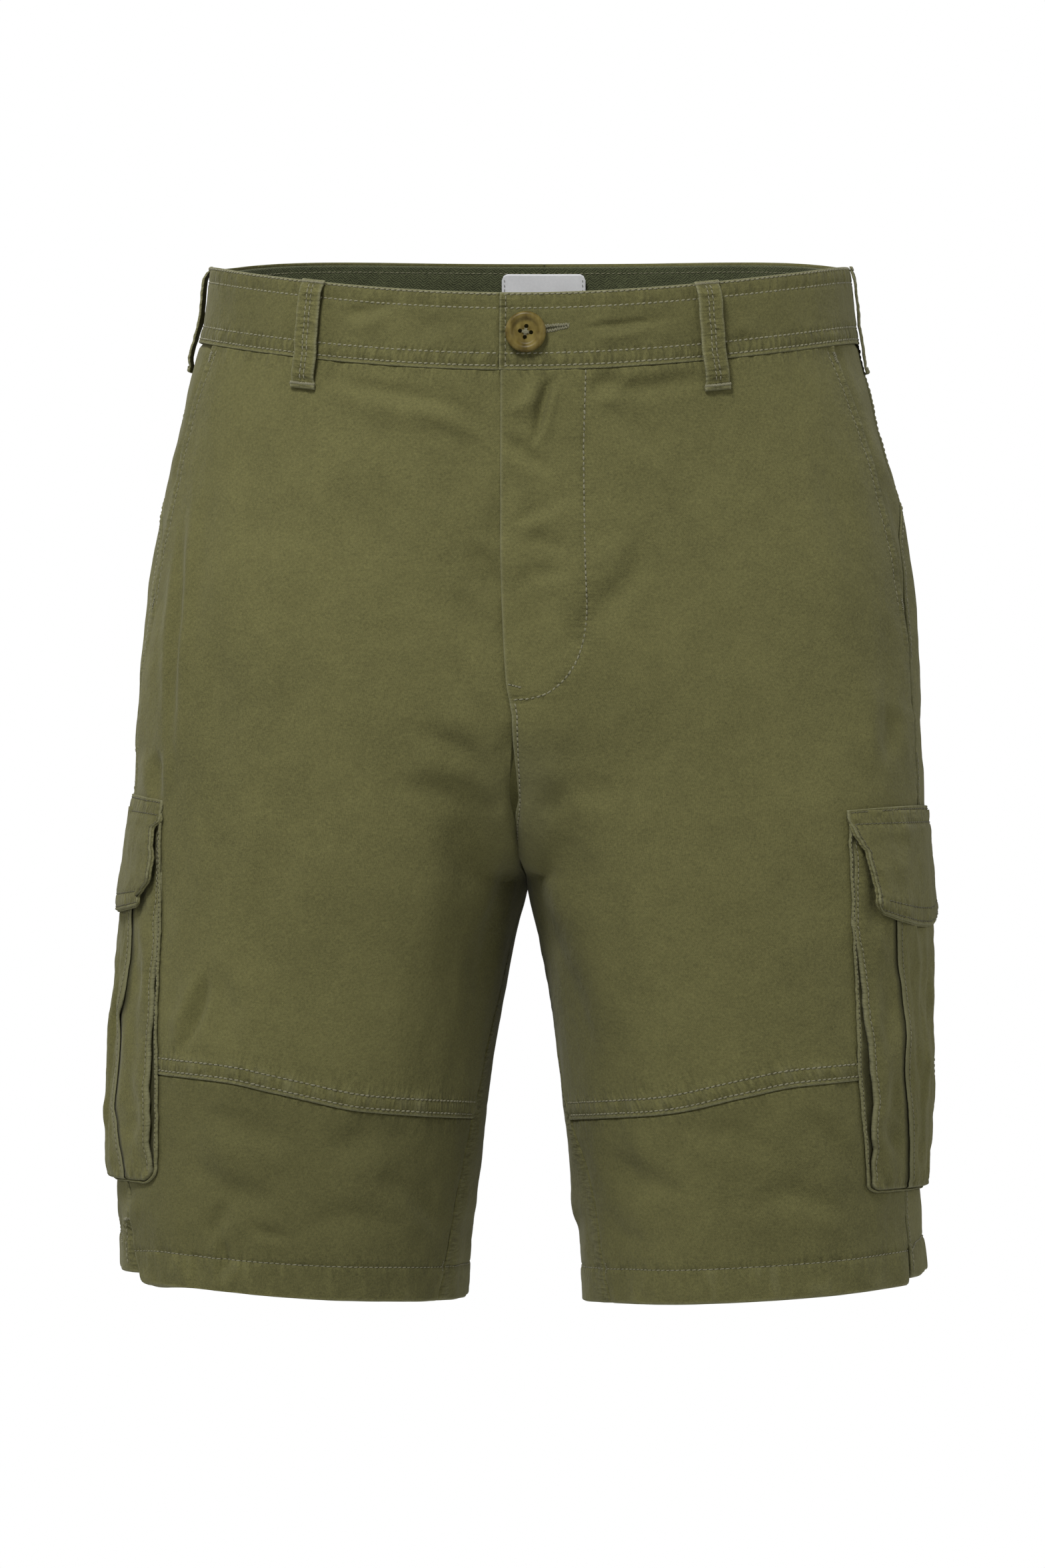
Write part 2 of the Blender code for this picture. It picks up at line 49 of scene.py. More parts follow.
# ------------------------------------------------------------------ dimensions
BAND_HALF = 19.0
FRONT_DIP = 18.7
BACK_RISE = 9.0
CROTCH_Z = -284.0
RISE_H = 80.0
HEM_Z = -496.0
LEG_POWER = 2.2
FLY_LAP = 6.5
BAND_LAP = 7.2
LAP_UNDER = 24.0
LOOP_W = 12.0
LOOP_BELOW = 16.5
BUTTON_X, BUTTON_Z = 5.8, -0.5
POCKET_TOP, POCKET_BOTTOM, POCKET_BACK_Y = -268.0, -438.0, 56.0
PLEAT_HALF = 0.36
FLAP_TOP, FLAP_BOTTOM = -246.0, -306.0
LABEL_W, LABEL_H = 43.0, 30.0
MOUTH_END = -170.0
STITCH = 2.8

SECTION_COLUMNS = ("z", "outer", "inner", "front", "back", "power")
SECTIONS = (
    (24.0, 160.0, 0.0, 107.0, 107.0, 2.25),
    (-19.0, 165.0, 0.0, 109.0, 113.0, 2.25),
    (-60.0, 174.0, 0.0, 111.0, 121.0, 2.30),
    (-100.0, 184.0, 0.0, 113.0, 129.0, 2.35),
    (-140.0, 190.8, 0.0, 114.0, 134.0, 2.45),
    (-180.0, 193.8, 0.0, 113.5, 134.0, 2.60),
    (-230.0, 196.8, 0.0, 112.0, 127.0, 2.85),
    (-284.0, 199.0, 0.0, 110.0, 117.0, 3.10),
    (-320.0, 199.6, 7.6, 108.0, 111.0, 3.20),
    (-360.0, 200.0, 14.0, 106.0, 107.0, 3.20),
    (-400.0, 200.4, 19.1, 103.5, 104.0, 3.20),
    (-440.0, 201.0, 23.9, 100.5, 101.0, 3.20),
    (-500.0, 203.0, 30.6, 97.0, 98.0, 3.20),
)
LINE_COLUMNS = ("z", "side_y", "mouth_y", "cargo_left", "cargo_right", "inseam_left", "inseam_right")
LINES = (
    (24.0, 6.0, -50.0, -60.0, -56.0, 0.0, 0.0),
    (-19.0, 5.0, -46.0, -62.0, -57.0, 0.0, 0.0),
    (-60.0, 3.0, -38.5, -66.0, -59.0, 0.0, 0.0),
    (-88.0, -1.0, -37.0, -70.0, -62.0, 0.0, 0.0),
    (-106.0, -13.0, -36.8, -73.0, -64.0, 0.0, 0.0),
    (-124.0, -22.0, -36.6, -75.0, -66.0, 0.0, 0.0),
    (-146.0, -29.0, -36.4, -77.0, -68.0, 0.0, 0.0),
    (-172.0, -34.0, -35.6, -79.0, -70.0, 0.0, 0.0),
    (-200.0, -33.0, -33.0, -82.0, -72.0, 0.0, 0.0),
    (-245.0, -33.0, -33.0, -85.0, -74.0, 0.0, 0.0),
    (-284.0, -35.0, -35.0, -86.0, -75.5, 0.0, 0.0),
    (-320.0, -37.0, -37.0, -85.3, -76.0, 0.004, 0.008),
    (-360.0, -39.0, -39.0, -84.0, -75.5, 0.014, 0.033),
    (-400.0, -41.0, -41.0, -81.5, -74.5, 0.060, 0.053),
    (-440.0, -43.0, -43.0, -77.5, -72.0, 0.091, 0.070),
    (-500.0, -43.0, -43.0, -73.0, -68.0, 0.106, 0.084),
)
SEAM_COLUMNS = ("z", "height")
LEG_SEAM = ((0.0, -405.0), (0.18, -402.6), (0.34, -399.8), (0.54, -391.0), (0.66, -385.8), (0.80, -383.2), (1.0, -381.0))
HEM = ((0.0, -496.0), (0.1, -494.4), (0.2, -492.4), (0.27, -490.2), (0.33, -488.0), (0.38, -486.1), (0.41, -485.3), (0.43, -484.8), (0.452, -481.6), (0.5, -480.0))

# the fly's J-shaped stitch line, (x, z), and rows of the waistband, z
J_LINE = ((35.0, -18.5), (34.2, -59.5), (35.3, -113.0), (36.5, -145.5), (35.1, -162.0), (31.7, -174.5),
          (26.0, -184.5), (17.5, -192.5), (9.0, -195.0), (0.5, -195.5))
BAND_ROWS = (18.0, 11.2, -10.8, -16.8)
SEAM_ROWS = (8.2, 2.2)
HEM_ROW = 17.0

# ---------------------------------------------------------------------- camera
CAM_D, CAM_A, CAM_R = 4000.0, math.radians(4.0), math.radians(0.25)
CAM_T = np.array([-2.5, 0.0, -239.0])
FOCAL = 12000.0
FWD = np.array([-math.sin(CAM_A), math.cos(CAM_A), 0.0])
LEVEL = np.array([math.cos(CAM_A), math.sin(CAM_A), 0.0])
ZUP = np.array([0.0, 0.0, 1.0])
RIGHT = math.cos(CAM_R) * LEVEL + math.sin(CAM_R) * ZUP
UP = math.cos(CAM_R) * ZUP - math.sin(CAM_R) * LEVEL
CAM_P = CAM_T - FWD * CAM_D


def place_camera():
    cam = bpy.data.cameras.new("camera")
    cam.sensor_width = 36.0
    cam.sensor_fit = "AUTO"
    cam.lens = FOCAL * 36.0 / 2352.0
    cam.clip_start, cam.clip_end = 0.1, 200.0
    obj = bpy.data.objects.new("camera", cam)
    bpy.context.scene.collection.objects.link(obj)
    m = Matrix([[RIGHT[i], UP[i], -FWD[i], CAM_P[i] * MM] for i in range(3)] + [[0, 0, 0, 1]])
    obj.matrix_world = m
    bpy.context.scene.camera = obj


def photo_xy(p):
    """Where a point in mm falls in the 1568 x 2352 frame."""
    v = p - CAM_P
    d = v @ FWD
    return 784.0 + FOCAL * (v @ RIGHT) / d, 1176.0 - FOCAL * (v @ UP) / d


# --------------------------------------------------------------------- surface
def make_table(columns, rows):
    data = np.array(sorted(rows), dtype=float)
    return {name: data[:, i] for i, name in enumerate(columns)}


SECTION = make_table(SECTION_COLUMNS, SECTIONS)
LINE = make_table(LINE_COLUMNS, LINES)
LEG_SEAM_LINE = make_table(SEAM_COLUMNS, LEG_SEAM)
HEM_LINE = make_table(SEAM_COLUMNS, HEM)


def column(table, name, z):
    x, y = table["z"], table[name]
    z = np.clip(np.asarray(z, dtype=float), x[0], x[-1])
    d = np.diff(y) / np.diff(x)
    m = np.concatenate([[d[0]], np.zeros(len(x) - 2), [d[-1]]])
    both = d[:-1] * d[1:] > 0
    m[1:-1][both] = 2 * d[:-1][both] * d[1:][both] / (d[:-1][both] + d[1:][both])
    i = np.clip(np.searchsorted(x, z, side="right") - 1, 0, len(x) - 2)
    h = x[i + 1] - x[i]
    t = (z - x[i]) / h
    return ((2 * t**3 - 3 * t**2 + 1) * y[i] + (t**3 - 2 * t**2 + t) * h * m[i]
            + (3 * t**2 - 2 * t**3) * y[i + 1] + (t**3 - t**2) * h * m[i + 1])


def rounding(angle, power):
    return (np.abs(np.cos(angle)) ** power + np.abs(np.sin(angle)) ** power) ** (-1.0 / power)


def smoothstep(t):
    t = np.clip(t, 0.0, 1.0)
    return t * t * (3 - 2 * t)


def torso_share(x_share, z):
    t = np.clip((z - CROTCH_Z) / RISE_H, 0.0, 1.0)
    rise = (1 - (1 - t) ** 2) ** (0.5 + 1.5 * smoothstep(x_share / 0.2))
    slow = smoothstep((z - CROTCH_Z + 110.0) / 210.0)
    return rise + (slow - rise) * smoothstep((x_share - 0.04) / 0.34)


def body(side, u, z):
    u, z = np.broadcast_arrays(np.asarray(u, float), np.asarray(z, float))
    outer, inner = column(SECTION, "outer", z), column(SECTION, "inner", z)
    front, back = column(SECTION, "front", z), column(SECTION, "back", z)
    power = column(SECTION, "power", z)
    b = 2 * np.pi * u
    r = rounding(b, LEG_POWER)
    lx = (outer + inner) / 2 - (outer - inner) / 2 * np.cos(b) * r
    ly = (back - front) / 2 - (back + front) / 2 * np.sin(b) * r
    a = np.pi * u
    even = smoothstep((z - CROTCH_Z) / 150.0)
    tx = (1 - even) * lx + even * outer * np.sin(a) * rounding(a, power)
    share = np.clip(np.abs(tx) / outer, 0, 1)
    ty = (1 - share**power) ** (1 / power)
    ty = np.where(np.cos(a) > 0, -front * ty, back * ty)
    w = torso_share(share, z)
    tilt = FRONT_DIP * np.clip(np.cos(a), 0, 1) ** 2 - BACK_RISE * smoothstep(-1.1 * np.cos(a))
    high = z - tilt * smoothstep((z + 240) / 190)
    return np.stack([side * ((1 - w) * lx + w * tx), (1 - w) * ly + w * ty, high], axis=-1)


def normal(side, u, z):
    pu = body(side, u + 1e-3, z) - body(side, u - 1e-3, z)
    pz = body(side, u, z + 0.4) - body(side, u, z - 0.4)
    n = np.cross(pu, pz) * side
    return n / np.maximum(np.linalg.norm(n, axis=-1, keepdims=True), 1e-9)


def arc(side, u, z):
    """mm of cloth for one unit of u."""
    return np.linalg.norm(body(side, u + 1e-3, z) - body(side, u - 1e-3, z), axis=-1) / 2e-3


def find_u(coord, value, z, lo, hi):
    value, z = np.broadcast_arrays(np.asarray(value, float), np.asarray(z, float))
    lo, hi = np.full(value.shape, lo), np.full(value.shape, hi)
    for _ in range(26):
        mid = (lo + hi) / 2
        less = body(1, mid, z)[..., coord] < value
        lo, hi = np.where(less, mid, lo), np.where(less, hi, mid)
    return (lo + hi) / 2


def along_z(f, lo=-505.0, hi=30.0, step=1.0):
    """A function of z alone, tabled once."""
    zs = np.arange(lo, hi + step, step)
    us = f(zs)
    return lambda z: np.interp(z, zs, us)


side_u = along_z(lambda z: find_u(1, column(LINE, "side_y", z), z, 0.2, 0.8))
_mouth = along_z(lambda z: find_u(1, column(LINE, "mouth_y", z), z, 0.2, 0.8))
cargo_left_u = along_z(lambda z: find_u(1, column(LINE, "cargo_left", z), z, 0.2, 0.8))
cargo_right_u = along_z(lambda z: find_u(1, column(LINE, "cargo_right", z), z, 0.2, 0.8))
cargo_back_u = along_z(lambda z: find_u(1, np.full(z.shape, POCKET_BACK_Y), z, 0.2, 0.8))


def u_at_x(x, z):
    return find_u(0, x, z, -0.2, 0.3)


def mouth_u(z):
    return np.minimum(_mouth(z), side_u(z))


def inseam_u(side, z):
    return column(LINE, "inseam_left" if side > 0 else "inseam_right", z)


def cargo_u(side, z):
    return (cargo_left_u if side > 0 else cargo_right_u)(z)


def fly_x(z):
    heights = (-204.0, -195.0, -188.0, -174.0, -160.0, -147.0, -133.0, -100.0, -19.0)
    return -FLY_LAP * np.interp(z, heights, (0.0, 0.22, 0.42, 0.58, 0.7, 0.78, 0.85, 0.95, 1.0))


_fly_left = along_z(lambda z: u_at_x(fly_x(z), np.maximum(z, CROTCH_Z + RISE_H)))
_fly_right = along_z(lambda z: u_at_x(-fly_x(z), np.maximum(z, CROTCH_Z + RISE_H)))


def front_start_u(side, z):
    """The seam at centre front, or the inseam of the leg."""
    z = np.asarray(z, float)
    top = _fly_left(z) if side > 0 else _fly_right(z)
    return np.where(z > CROTCH_Z + RISE_H, top, inseam_u(side, z))


def leg_seam_z(a):
    return column(LEG_SEAM_LINE, "height", a)


def hem_z(u, side=1):
    """The hem; the right leg's front corner, beside the vent, hangs lower."""
    u = np.asarray(u, float)
    corner = 2.3 * np.exp(-(((u - 0.412) / 0.032) ** 2)) if side < 0 else 0.0
    return column(HEM_LINE, "height", np.clip(np.minimum(u, 1 - u), 0.0, 0.5)) - corner


# ----------------------------------------------------------------------- noise
_seeded = np.random.default_rng(5)
_perm = np.concatenate([_seeded.permutation(256)] * 3)
_grad = _seeded.normal(size=(256, 3))
_grad /= np.linalg.norm(_grad, axis=1, keepdims=True)


def noise3(p):
    """Smooth noise of a point, about -1 to 1."""
    p = np.asarray(p, float)
    cell = np.floor(p).astype(int)
    f = p - cell
    w = f * f * f * (f * (f * 6 - 15) + 10)
    cell &= 255
    total = np.zeros(p.shape[:-1])
    for dx, dy, dz in itertools.product((0, 1), repeat=3):
        h = _perm[(_perm[(_perm[(cell[..., 0] + dx) & 255] + cell[..., 1] + dy) & 255] + cell[..., 2] + dz) & 255]
        g = _grad[h]
        dot = g[..., 0] * (f[..., 0] - dx) + g[..., 1] * (f[..., 1] - dy) + g[..., 2] * (f[..., 2] - dz)
        total += (dot * (w[..., 0] if dx else 1 - w[..., 0]) * (w[..., 1] if dy else 1 - w[..., 1])
                  * (w[..., 2] if dz else 1 - w[..., 2]))
    return total * 1.7


def noise2(x, y, seed):
    x, y = np.broadcast_arrays(np.asarray(x, float), np.asarray(y, float))
    return noise3(np.stack([x, y, np.full(x.shape, seed * 7.31 + 0.37)], axis=-1))


# ------------------------------------------------------------------ fold field
# points in the frame of the picture's view, width, height in mm (down is below
# 0), and the side on which the cloth rises again (1, -1 or 0)
FRONT_FOLDS = (
    (((470, 562), (560, 578), (673, 600), (752, 660)), 10, -1.5, 1),
    (((496, 560), (600, 578), (712, 606)), 7, 1.0, 0),
    (((590, 596), (680, 634), (757, 668)), 8, 0.7, 0),
    (((452, 596), (540, 640), (640, 700), (700, 790)), 17, -0.55, 1),
    (((842, 556), (822, 580), (813, 609), (807, 643), (792, 684)), 4.5, -1.8, -1),
    (((806, 560), (796, 600), (786, 640)), 6, 0.9, 0),
    (((752, 700), (744, 800), (748, 900), (752, 990)), 9, -0.8, 0),
    (((758, 622), (790, 606), (812, 592)), 5, 0.8, 0),
    (((762, 780), (800, 770), (852, 752)), 6, -0.8, -1),
    (((862, 492), (925, 488), (1000, 478)), 3.5, -0.5, -1),
    (((880, 512), (930, 504), (1000, 488)), 5, 0.6, 0),
    (((756, 652), (790, 680), (832, 712)), 7, -1.2, 1),
    (((764, 762), (820, 748), (876, 744)), 8, -0.8, 1),
    (((768, 806), (820, 812), (870, 832)), 8, -0.7, -1),
    (((772, 890), (800, 860), (866, 858)), 8, -0.6, 1),
    (((882, 600), (900, 578), (944, 566)), 8, -1.35, 1),
    (((897, 592), (980, 578), (1080, 564)), 8, -1.05, -1),
    (((905, 622), (960, 640), (1010, 700)), 14, -0.7, 1),
    (((975, 800), (944, 867), (873, 944), (840, 1000)), 15, -1.4, 1),
    (((704, 804), (726, 850), (752, 905)), 11, -1.5, -1),
    (((640, 870), (700, 930), (750, 1010)), 18, -0.7, 1),
    (((773, 1195), (700, 1130), (600, 1085)), 13, -1.2, -1),
    (((770, 1215), (690, 1190), (570, 1180)), 14, -0.9, 1),
    (((775, 1185), (740, 1100), (700, 1020)), 12, -0.9, -1),
    (((762, 1060), (768, 1160), (776, 1278)), 11, -1.4, 0),
    (((800, 1120), (850, 1185), (905, 1245)), 16, 1.2, 0),
    (((790, 1220), (860, 1190), (960, 1180)), 14, -0.8, 1),
    (((776, 1230), (748, 1380), (708, 1575)), 15, -1.5, -1),
    (((757, 1190), (742, 1300), (716, 1430)), 12, 0.8, 0),
    (((802, 1140), (830, 1300), (873, 1480)), 18, 1.5, 0),
    (((800, 1290), (838, 1450), (905, 1640)), 15, -1.4, -1),
    (((314, 1448), (301, 1500), (285, 1550), (267, 1592)), 6, -1.7, 1),
    (((330, 1440), (336, 1500), (350, 1590)), 12, -0.7, -1),
    (((286, 690), (279, 860), (271, 1040), (266, 1190)), 6, 1.0, 0),
    (((270, 740), (264, 900), (256, 1060), (252, 1180)), 6, -1.2, 0),
    (((256, 800), (247, 960), (241, 1120)), 5, 0.8, 0),
    (((304, 700), (298, 860), (292, 1040)), 11, -0.7, 0),
    (((330, 1846), (337, 1890), (334, 1938)), 5, -1.1, 1),
    (((290, 1872), (292, 1902), (294, 1934)), 6, -0.7, 1),
    (((344, 1800), (324, 1835), (318, 1872)), 10, -1.0, -1),
    (((364, 1838), (400, 1850), (446, 1862)), 6, -0.8, 1),
    (((212, 1796), (202, 1822), (200, 1850)), 6, 0.9, 0),
    (((330, 900), (318, 1060), (322, 1220)), 16, -0.8, 1),
    (((231, 1120), (228, 1170), (232, 1214)), 6, -1.3, 1),
    (((249, 1110), (246, 1170), (244, 1216)), 6, 0.8, 0),
    (((1330, 1050), (1336, 1090), (1332, 1150)), 10, -1.3, -1),
    (((1302, 1000), (1308, 1080), (1300, 1180)), 14, 0.9, 0),
    (((1210, 640), (1262, 760), (1290, 900)), 17, -0.7, 1),
    (((1180, 1260), (1230, 1360), (1262, 1500)), 17, -0.7, -1),
    (((420, 1250), (400, 1400), (420, 1560)), 20, -0.6, 1),
    (((507, 474), (550, 466), (600, 458)), 7, -0.8, 1),
    (((890, 488), (960, 480), (1030, 478)), 9, -0.6, 1),
    (((1094, 505), (1115, 511), (1136, 520)), 7, -0.45, -1),
    (((620, 500), (660, 486), (706, 484)), 9, -0.5, 1),
    # the lower panels
    (((300, 1660), (380, 1700), (470, 1720)), 13, -0.9, 1),
    (((260, 1720), (330, 1780), (430, 1810)), 13, -0.9, -1),
    (((480, 1740), (560, 1700), (640, 1712)), 14, -0.8, 1),
    (((430, 1850), (520, 1820), (620, 1840)), 12, -0.7, -1),
    (((560, 1760), (620, 1790), (676, 1860)), 12, -0.8, 1),
    (((900, 1720), (960, 1770), (1060, 1800)), 13, -0.9, -1),
    (((1000, 1690), (1100, 1700), (1190, 1750)), 13, -0.8, 1),
    (((1100, 1820), (1190, 1790), (1290, 1830)), 12, -0.9, 1),
    (((900, 1800), (930, 1850), (1000, 1880)), 12, -0.7, -1),
    (((1200, 1660), (1250, 1720), (1290, 1760)), 12, -0.8, -1),
)
# the back, in the same scale, mirrored so that it reads as seen from behind
BACK_FOLDS = (
    (((430, 560), (560, 600), (700, 660)), 11, -1.6, 1),
    (((1130, 560), (1010, 610), (860, 650)), 11, -1.5, -1),
    (((660, 620), (700, 740), (752, 900)), 15, -1.2, 1),
    (((900, 640), (860, 780), (812, 930)), 15, -1.1, -1),
    (((784, 640), (780, 760), (786, 900)), 12, -0.6, 0),
    (((776, 1180), (700, 1120), (580, 1080)), 14, -1.6, -1),
    (((792, 1190), (880, 1130), (1000, 1100)), 14, -1.5, 1),
    (((770, 1230), (680, 1210), (540, 1215)), 14, -1.3, 1),
    (((800, 1230), (900, 1220), (1040, 1240)), 14, -1.2, -1),
    (((764, 1280), (700, 1330), (600, 1350)), 15, -1.2, -1),
    (((806, 1290), (880, 1350), (990, 1380)), 15, -1.1, 1),
    (((740, 1300), (716, 1450), (690, 1640)), 15, -1.4, 1),
    (((830, 1310), (856, 1470), (890, 1650)), 15, -1.4, -1),
    (((330, 800), (300, 960), (310, 1150)), 15, -1.1, 1),
    (((1230, 780), (1262, 960), (1250, 1160)), 15, -1.1, -1),
    (((420, 1000), (470, 1180), (450, 1380)), 20, -0.8, 1),
    (((1130, 1010), (1090, 1190), (1120, 1400)), 20, -0.8, -1),
    (((360, 1500), (450, 1560), (580, 1570)), 15, -0.9, 1),
    (((1180, 1480), (1080, 1560), (960, 1580)), 15, -0.9, -1),
    (((420, 1680), (520, 1720), (640, 1700)), 14, -0.9, -1),
    (((930, 1700), (1040, 1730), (1180, 1700)), 14, -0.9, 1),
    (((340, 1800), (450, 1790), (560, 1830)), 13, -0.8, 1),
    (((1010, 1810), (1110, 1800), (1230, 1840)), 13, -0.8, -1),
)
# the flanks, (y, z) in mm
FLANK_FOLDS = (
    (((-40, -60), (-20, -120), (-30, -190)), 5, -1.2, 1),
    (((30, -50), (44, -110), (36, -190)), 6, -1.2, -1),
    (((66, -120), (72, -170), (60, -225)), 6, -0.9, 1),
    (((-10, -200), (20, -216), (52, -210)), 5, -0.8, 1),
    (((-50, -452), (-10, -462), (30, -455)), 4, -0.7, 1),
    (((76, -280), (80, -340), (74, -410)), 6, -1.0, -1),
)


# how far the flank of each leg lies from the plain form, (z), (mm)
HANG_LEFT = ((-500, -480, -467, -450, -436, -413, -405, -395, -385, -376, -366, -357, -347, -304, -285, -267, -252, -230, -197,
              -167, -147, -122, -107, -87, -67, -40, -24, -10, 20),
             (-1.7, -1.9, -2.4, -4.3, -4.7, -3.8, -3.4, -2.4, -1.7, -1.1, -1.2, -1.9, -2.2, -0.6, -1.1, -1.8, -0.3, 0.8, 0.9,
              1.5, 1.3, 1.9, 1.6, 0.8, 0.0, 0.0, -0.6, -1.0, -1.2))
HANG_RIGHT = ((-500, -480, -467, -457, -440, -400, -377, -350, -304, -290, -275, -260, -240, -215, -185, -167, -152, -132, -112,
               -97, -87, -77, -67, -50, -37, -24, -10, 20),
              (-0.6, -0.4, 0.8, 1.7, 2.4, 1.6, 0.9, 0.0, -0.7, -1.4, -1.9, -2.3, -2.0, -0.9, -0.8, -0.9, -1.8, -2.1, -1.9,
               -1.7, -1.6, -0.5, 0.3, 1.2, 1.4, 0.5, -1.4, -1.9))


def creases(x, y, table):
    total = np.zeros(x.shape)
    for points, width, height, rise in table:
        pts = np.array(points, float)
        lo, hi = pts.min(0) - 7.5 * width, pts.max(0) + 7.5 * width
        m = (x > lo[0]) & (x < hi[0]) & (y > lo[1]) & (y < hi[1])
        if not m.any():
            continue
        px, py = x[m], y[m]
        seg = np.diff(pts, axis=0)
        length = np.linalg.norm(seg, axis=1)
        run = np.concatenate([[0.0], np.cumsum(length)]) / length.sum()
        best = np.full(px.shape, 1e9)
        signed, share = np.zeros(px.shape), np.zeros(px.shape)
        for k in range(len(seg)):
            dx, dy = px - pts[k, 0], py - pts[k, 1]
            t = np.clip((dx * seg[k, 0] + dy * seg[k, 1]) / length[k] ** 2, 0, 1)
            ex, ey = dx - t * seg[k, 0], dy - t * seg[k, 1]
            d = np.hypot(ex, ey)
            nearer = d < best
            best = np.where(nearer, d, best)
            s = np.sign(seg[k, 0] * ey - seg[k, 1] * ex)
            signed = np.where(nearer, s * d, signed)
            share = np.where(nearer, run[k] + t * (run[k + 1] - run[k]), share)
        taper = smoothstep(share / 0.35) * smoothstep((1 - share) / 0.45)
        w = 1.3 * width * (0.75 + 0.5 * taper)
        shape = np.exp(-((best / w) ** 2))
        if rise:
            shape = shape - 0.62 * np.exp(-(((signed - rise * 1.75 * w) / (1.3 * w)) ** 2))
        total[m] += height * taper * shape
    return total


def slack(p, n):
    """How far the cloth stands off its plain form at a point, along the normal."""
    facing = -(n @ FWD)
    x, y, z = p[..., 0], p[..., 1], p[..., 2]
    px, py = photo_xy(p)
    d = 2.15 * creases(px, py, FRONT_FOLDS) * smoothstep((facing - 0.12) / 0.36)
    d = d + 1.6 * creases(784 - 3 * x, 1176 - 3 * (z + 239), BACK_FOLDS) * smoothstep((-facing - 0.04) / 0.3)
    d = d + 1.3 * creases(y, z, FLANK_FOLDS) * smoothstep((np.abs(n[..., 0]) - 0.6) / 0.3)
    # the left leg's side hangs further in beside its pocket, the right one's out
    hang = np.where(x > 0, np.interp(z, *HANG_LEFT), np.interp(z, *HANG_RIGHT))
    d = d + hang * smoothstep((np.sign(x) * n[..., 0] - 0.4) / 0.55)
    loose = 0.22 + 0.78 * smoothstep((-24.0 - z) / 40.0)
    low = smoothstep((-385.0 - z) / 30.0)
    d = d + loose * (1.3 * noise3(p / 70.0) + (0.9 + 0.2 * low) * noise3(p / np.array([24.0, 24.0, 34.0]) + 9.1))
    d = d + (0.32 + 0.14 * low) * noise3(p / np.array([11.0, 11.0, 14.0]) + 4.2) + (0.08 + 0.05 * low) * noise3(p / 5.0 + 2.6)
    return d


# ---------------------------------------------------------------- mesh building
def add_mesh(name, verts, quads, tris, mat, uv=None, values=None):
    mesh = bpy.data.meshes.new(name)
    quads = np.asarray(quads, np.int32).reshape(-1, 4)
    tris = np.asarray(tris, np.int32).reshape(-1, 3)
    mesh.vertices.add(len(verts))
    mesh.vertices.foreach_set("co", (np.asarray(verts, float) * MM).astype(np.float32).ravel())
    loops = np.concatenate([quads.ravel(), tris.ravel()])
    mesh.loops.add(len(loops))
    mesh.loops.foreach_set("vertex_index", loops)
    mesh.polygons.add(len(quads) + len(tris))
    starts = np.concatenate([np.arange(len(quads)) * 4, len(quads) * 4 + np.arange(len(tris)) * 3])
    mesh.polygons.foreach_set("loop_start", starts.astype(np.int32))
    mesh.update(calc_edges=True)
    mesh.shade_smooth()
    if uv is not None:
        layer = mesh.uv_layers.new(name="cloth")
        layer.data.foreach_set("uv", np.asarray(uv, np.float32)[loops].ravel())
    for key, value in (values or {}).items():
        attribute = mesh.attributes.new(key, "FLOAT", "POINT")
        attribute.data.foreach_set("value", np.asarray(value, np.float32).ravel())
    mesh.materials.append(mat)
    obj = bpy.data.objects.new(name, mesh)
    bpy.context.scene.collection.objects.link(obj)
    return obj


def shell(name, top, under, mat, uv, wear_and_painted_shading, step=3, gathers=None):
    """A thin closed wall: a fine outer grid, a coarse inner one, and a rim."""
    name = "cloth_" + name
    rows, cols = top.shape[:2]
    assert (rows - 1) % step == 0 and (cols - 1) % step == 0, (name, rows, cols)
    low = under[::step, ::step]
    r2, c2 = low.shape[:2]
    index = np.arange(rows * cols).reshape(rows, cols)
    inner = rows * cols + np.arange(r2 * c2).reshape(r2, c2)
    q = np.stack([index[:-1, :-1], index[1:, :-1], index[1:, 1:], index[:-1, 1:]], axis=-1).reshape(-1, 4)
    qi = np.stack([inner[:-1, :-1], inner[:-1, 1:], inner[1:, 1:], inner[1:, :-1]], axis=-1).reshape(-1, 4)
    ring = lambda g: np.concatenate([g[0, :-1], g[:-1, -1], g[-1, :0:-1], g[:0:-1, 0]])
    o, i = ring(index), ring(inner)
    o = np.append(o, o[0])
    i = np.append(i, i[0])
    k = np.arange(len(i) - 1)
    if step == 3:
        tris = np.concatenate([np.stack([o[3 * k], o[3 * k + 1], i[k]], -1), np.stack([o[3 * k + 2], o[3 * k + 3], i[k + 1]], -1)])
        rim = np.stack([o[3 * k + 1], o[3 * k + 2], i[k + 1], i[k]], -1)
    elif step == 2:
        tris = np.concatenate([np.stack([o[2 * k], o[2 * k + 1], i[k]], -1),
                               np.stack([o[2 * k + 1], o[2 * k + 2], i[k + 1]], -1),
                               np.stack([o[2 * k + 1], i[k + 1], i[k]], -1)])
        rim = np.zeros((0, 4), int)
    else:
        tris = np.zeros((0, 3), int)
        rim = np.stack([o[k], o[k + 1], i[k + 1], i[k]], -1)
    quads = np.concatenate([q, qi, rim])
    verts = np.concatenate([top.reshape(-1, 3), low.reshape(-1, 3)])
    r, c = rows // 2, cols // 2
    face = np.cross(top[r + 1, c] - top[r, c], top[r, c + 1] - top[r, c])
    if face @ (top[r, c] - under[r, c]) < 0:
        quads, tris = quads[:, ::-1], tris[:, ::-1]
    uvs = np.concatenate([uv.reshape(-1, 2), uv[::step, ::step].reshape(-1, 2)])
    values = {"wear_and_painted_shading": np.concatenate([wear_and_painted_shading.ravel(), np.zeros(r2 * c2)])}
    for key, g in (gathers or {}).items():
        g = np.broadcast_to(g, (rows, cols))
        values[key] = np.concatenate([np.clip(g, 0, 1).ravel(), np.zeros(r2 * c2)])
    return add_mesh(name, verts, quads, tris, mat, uvs, values)


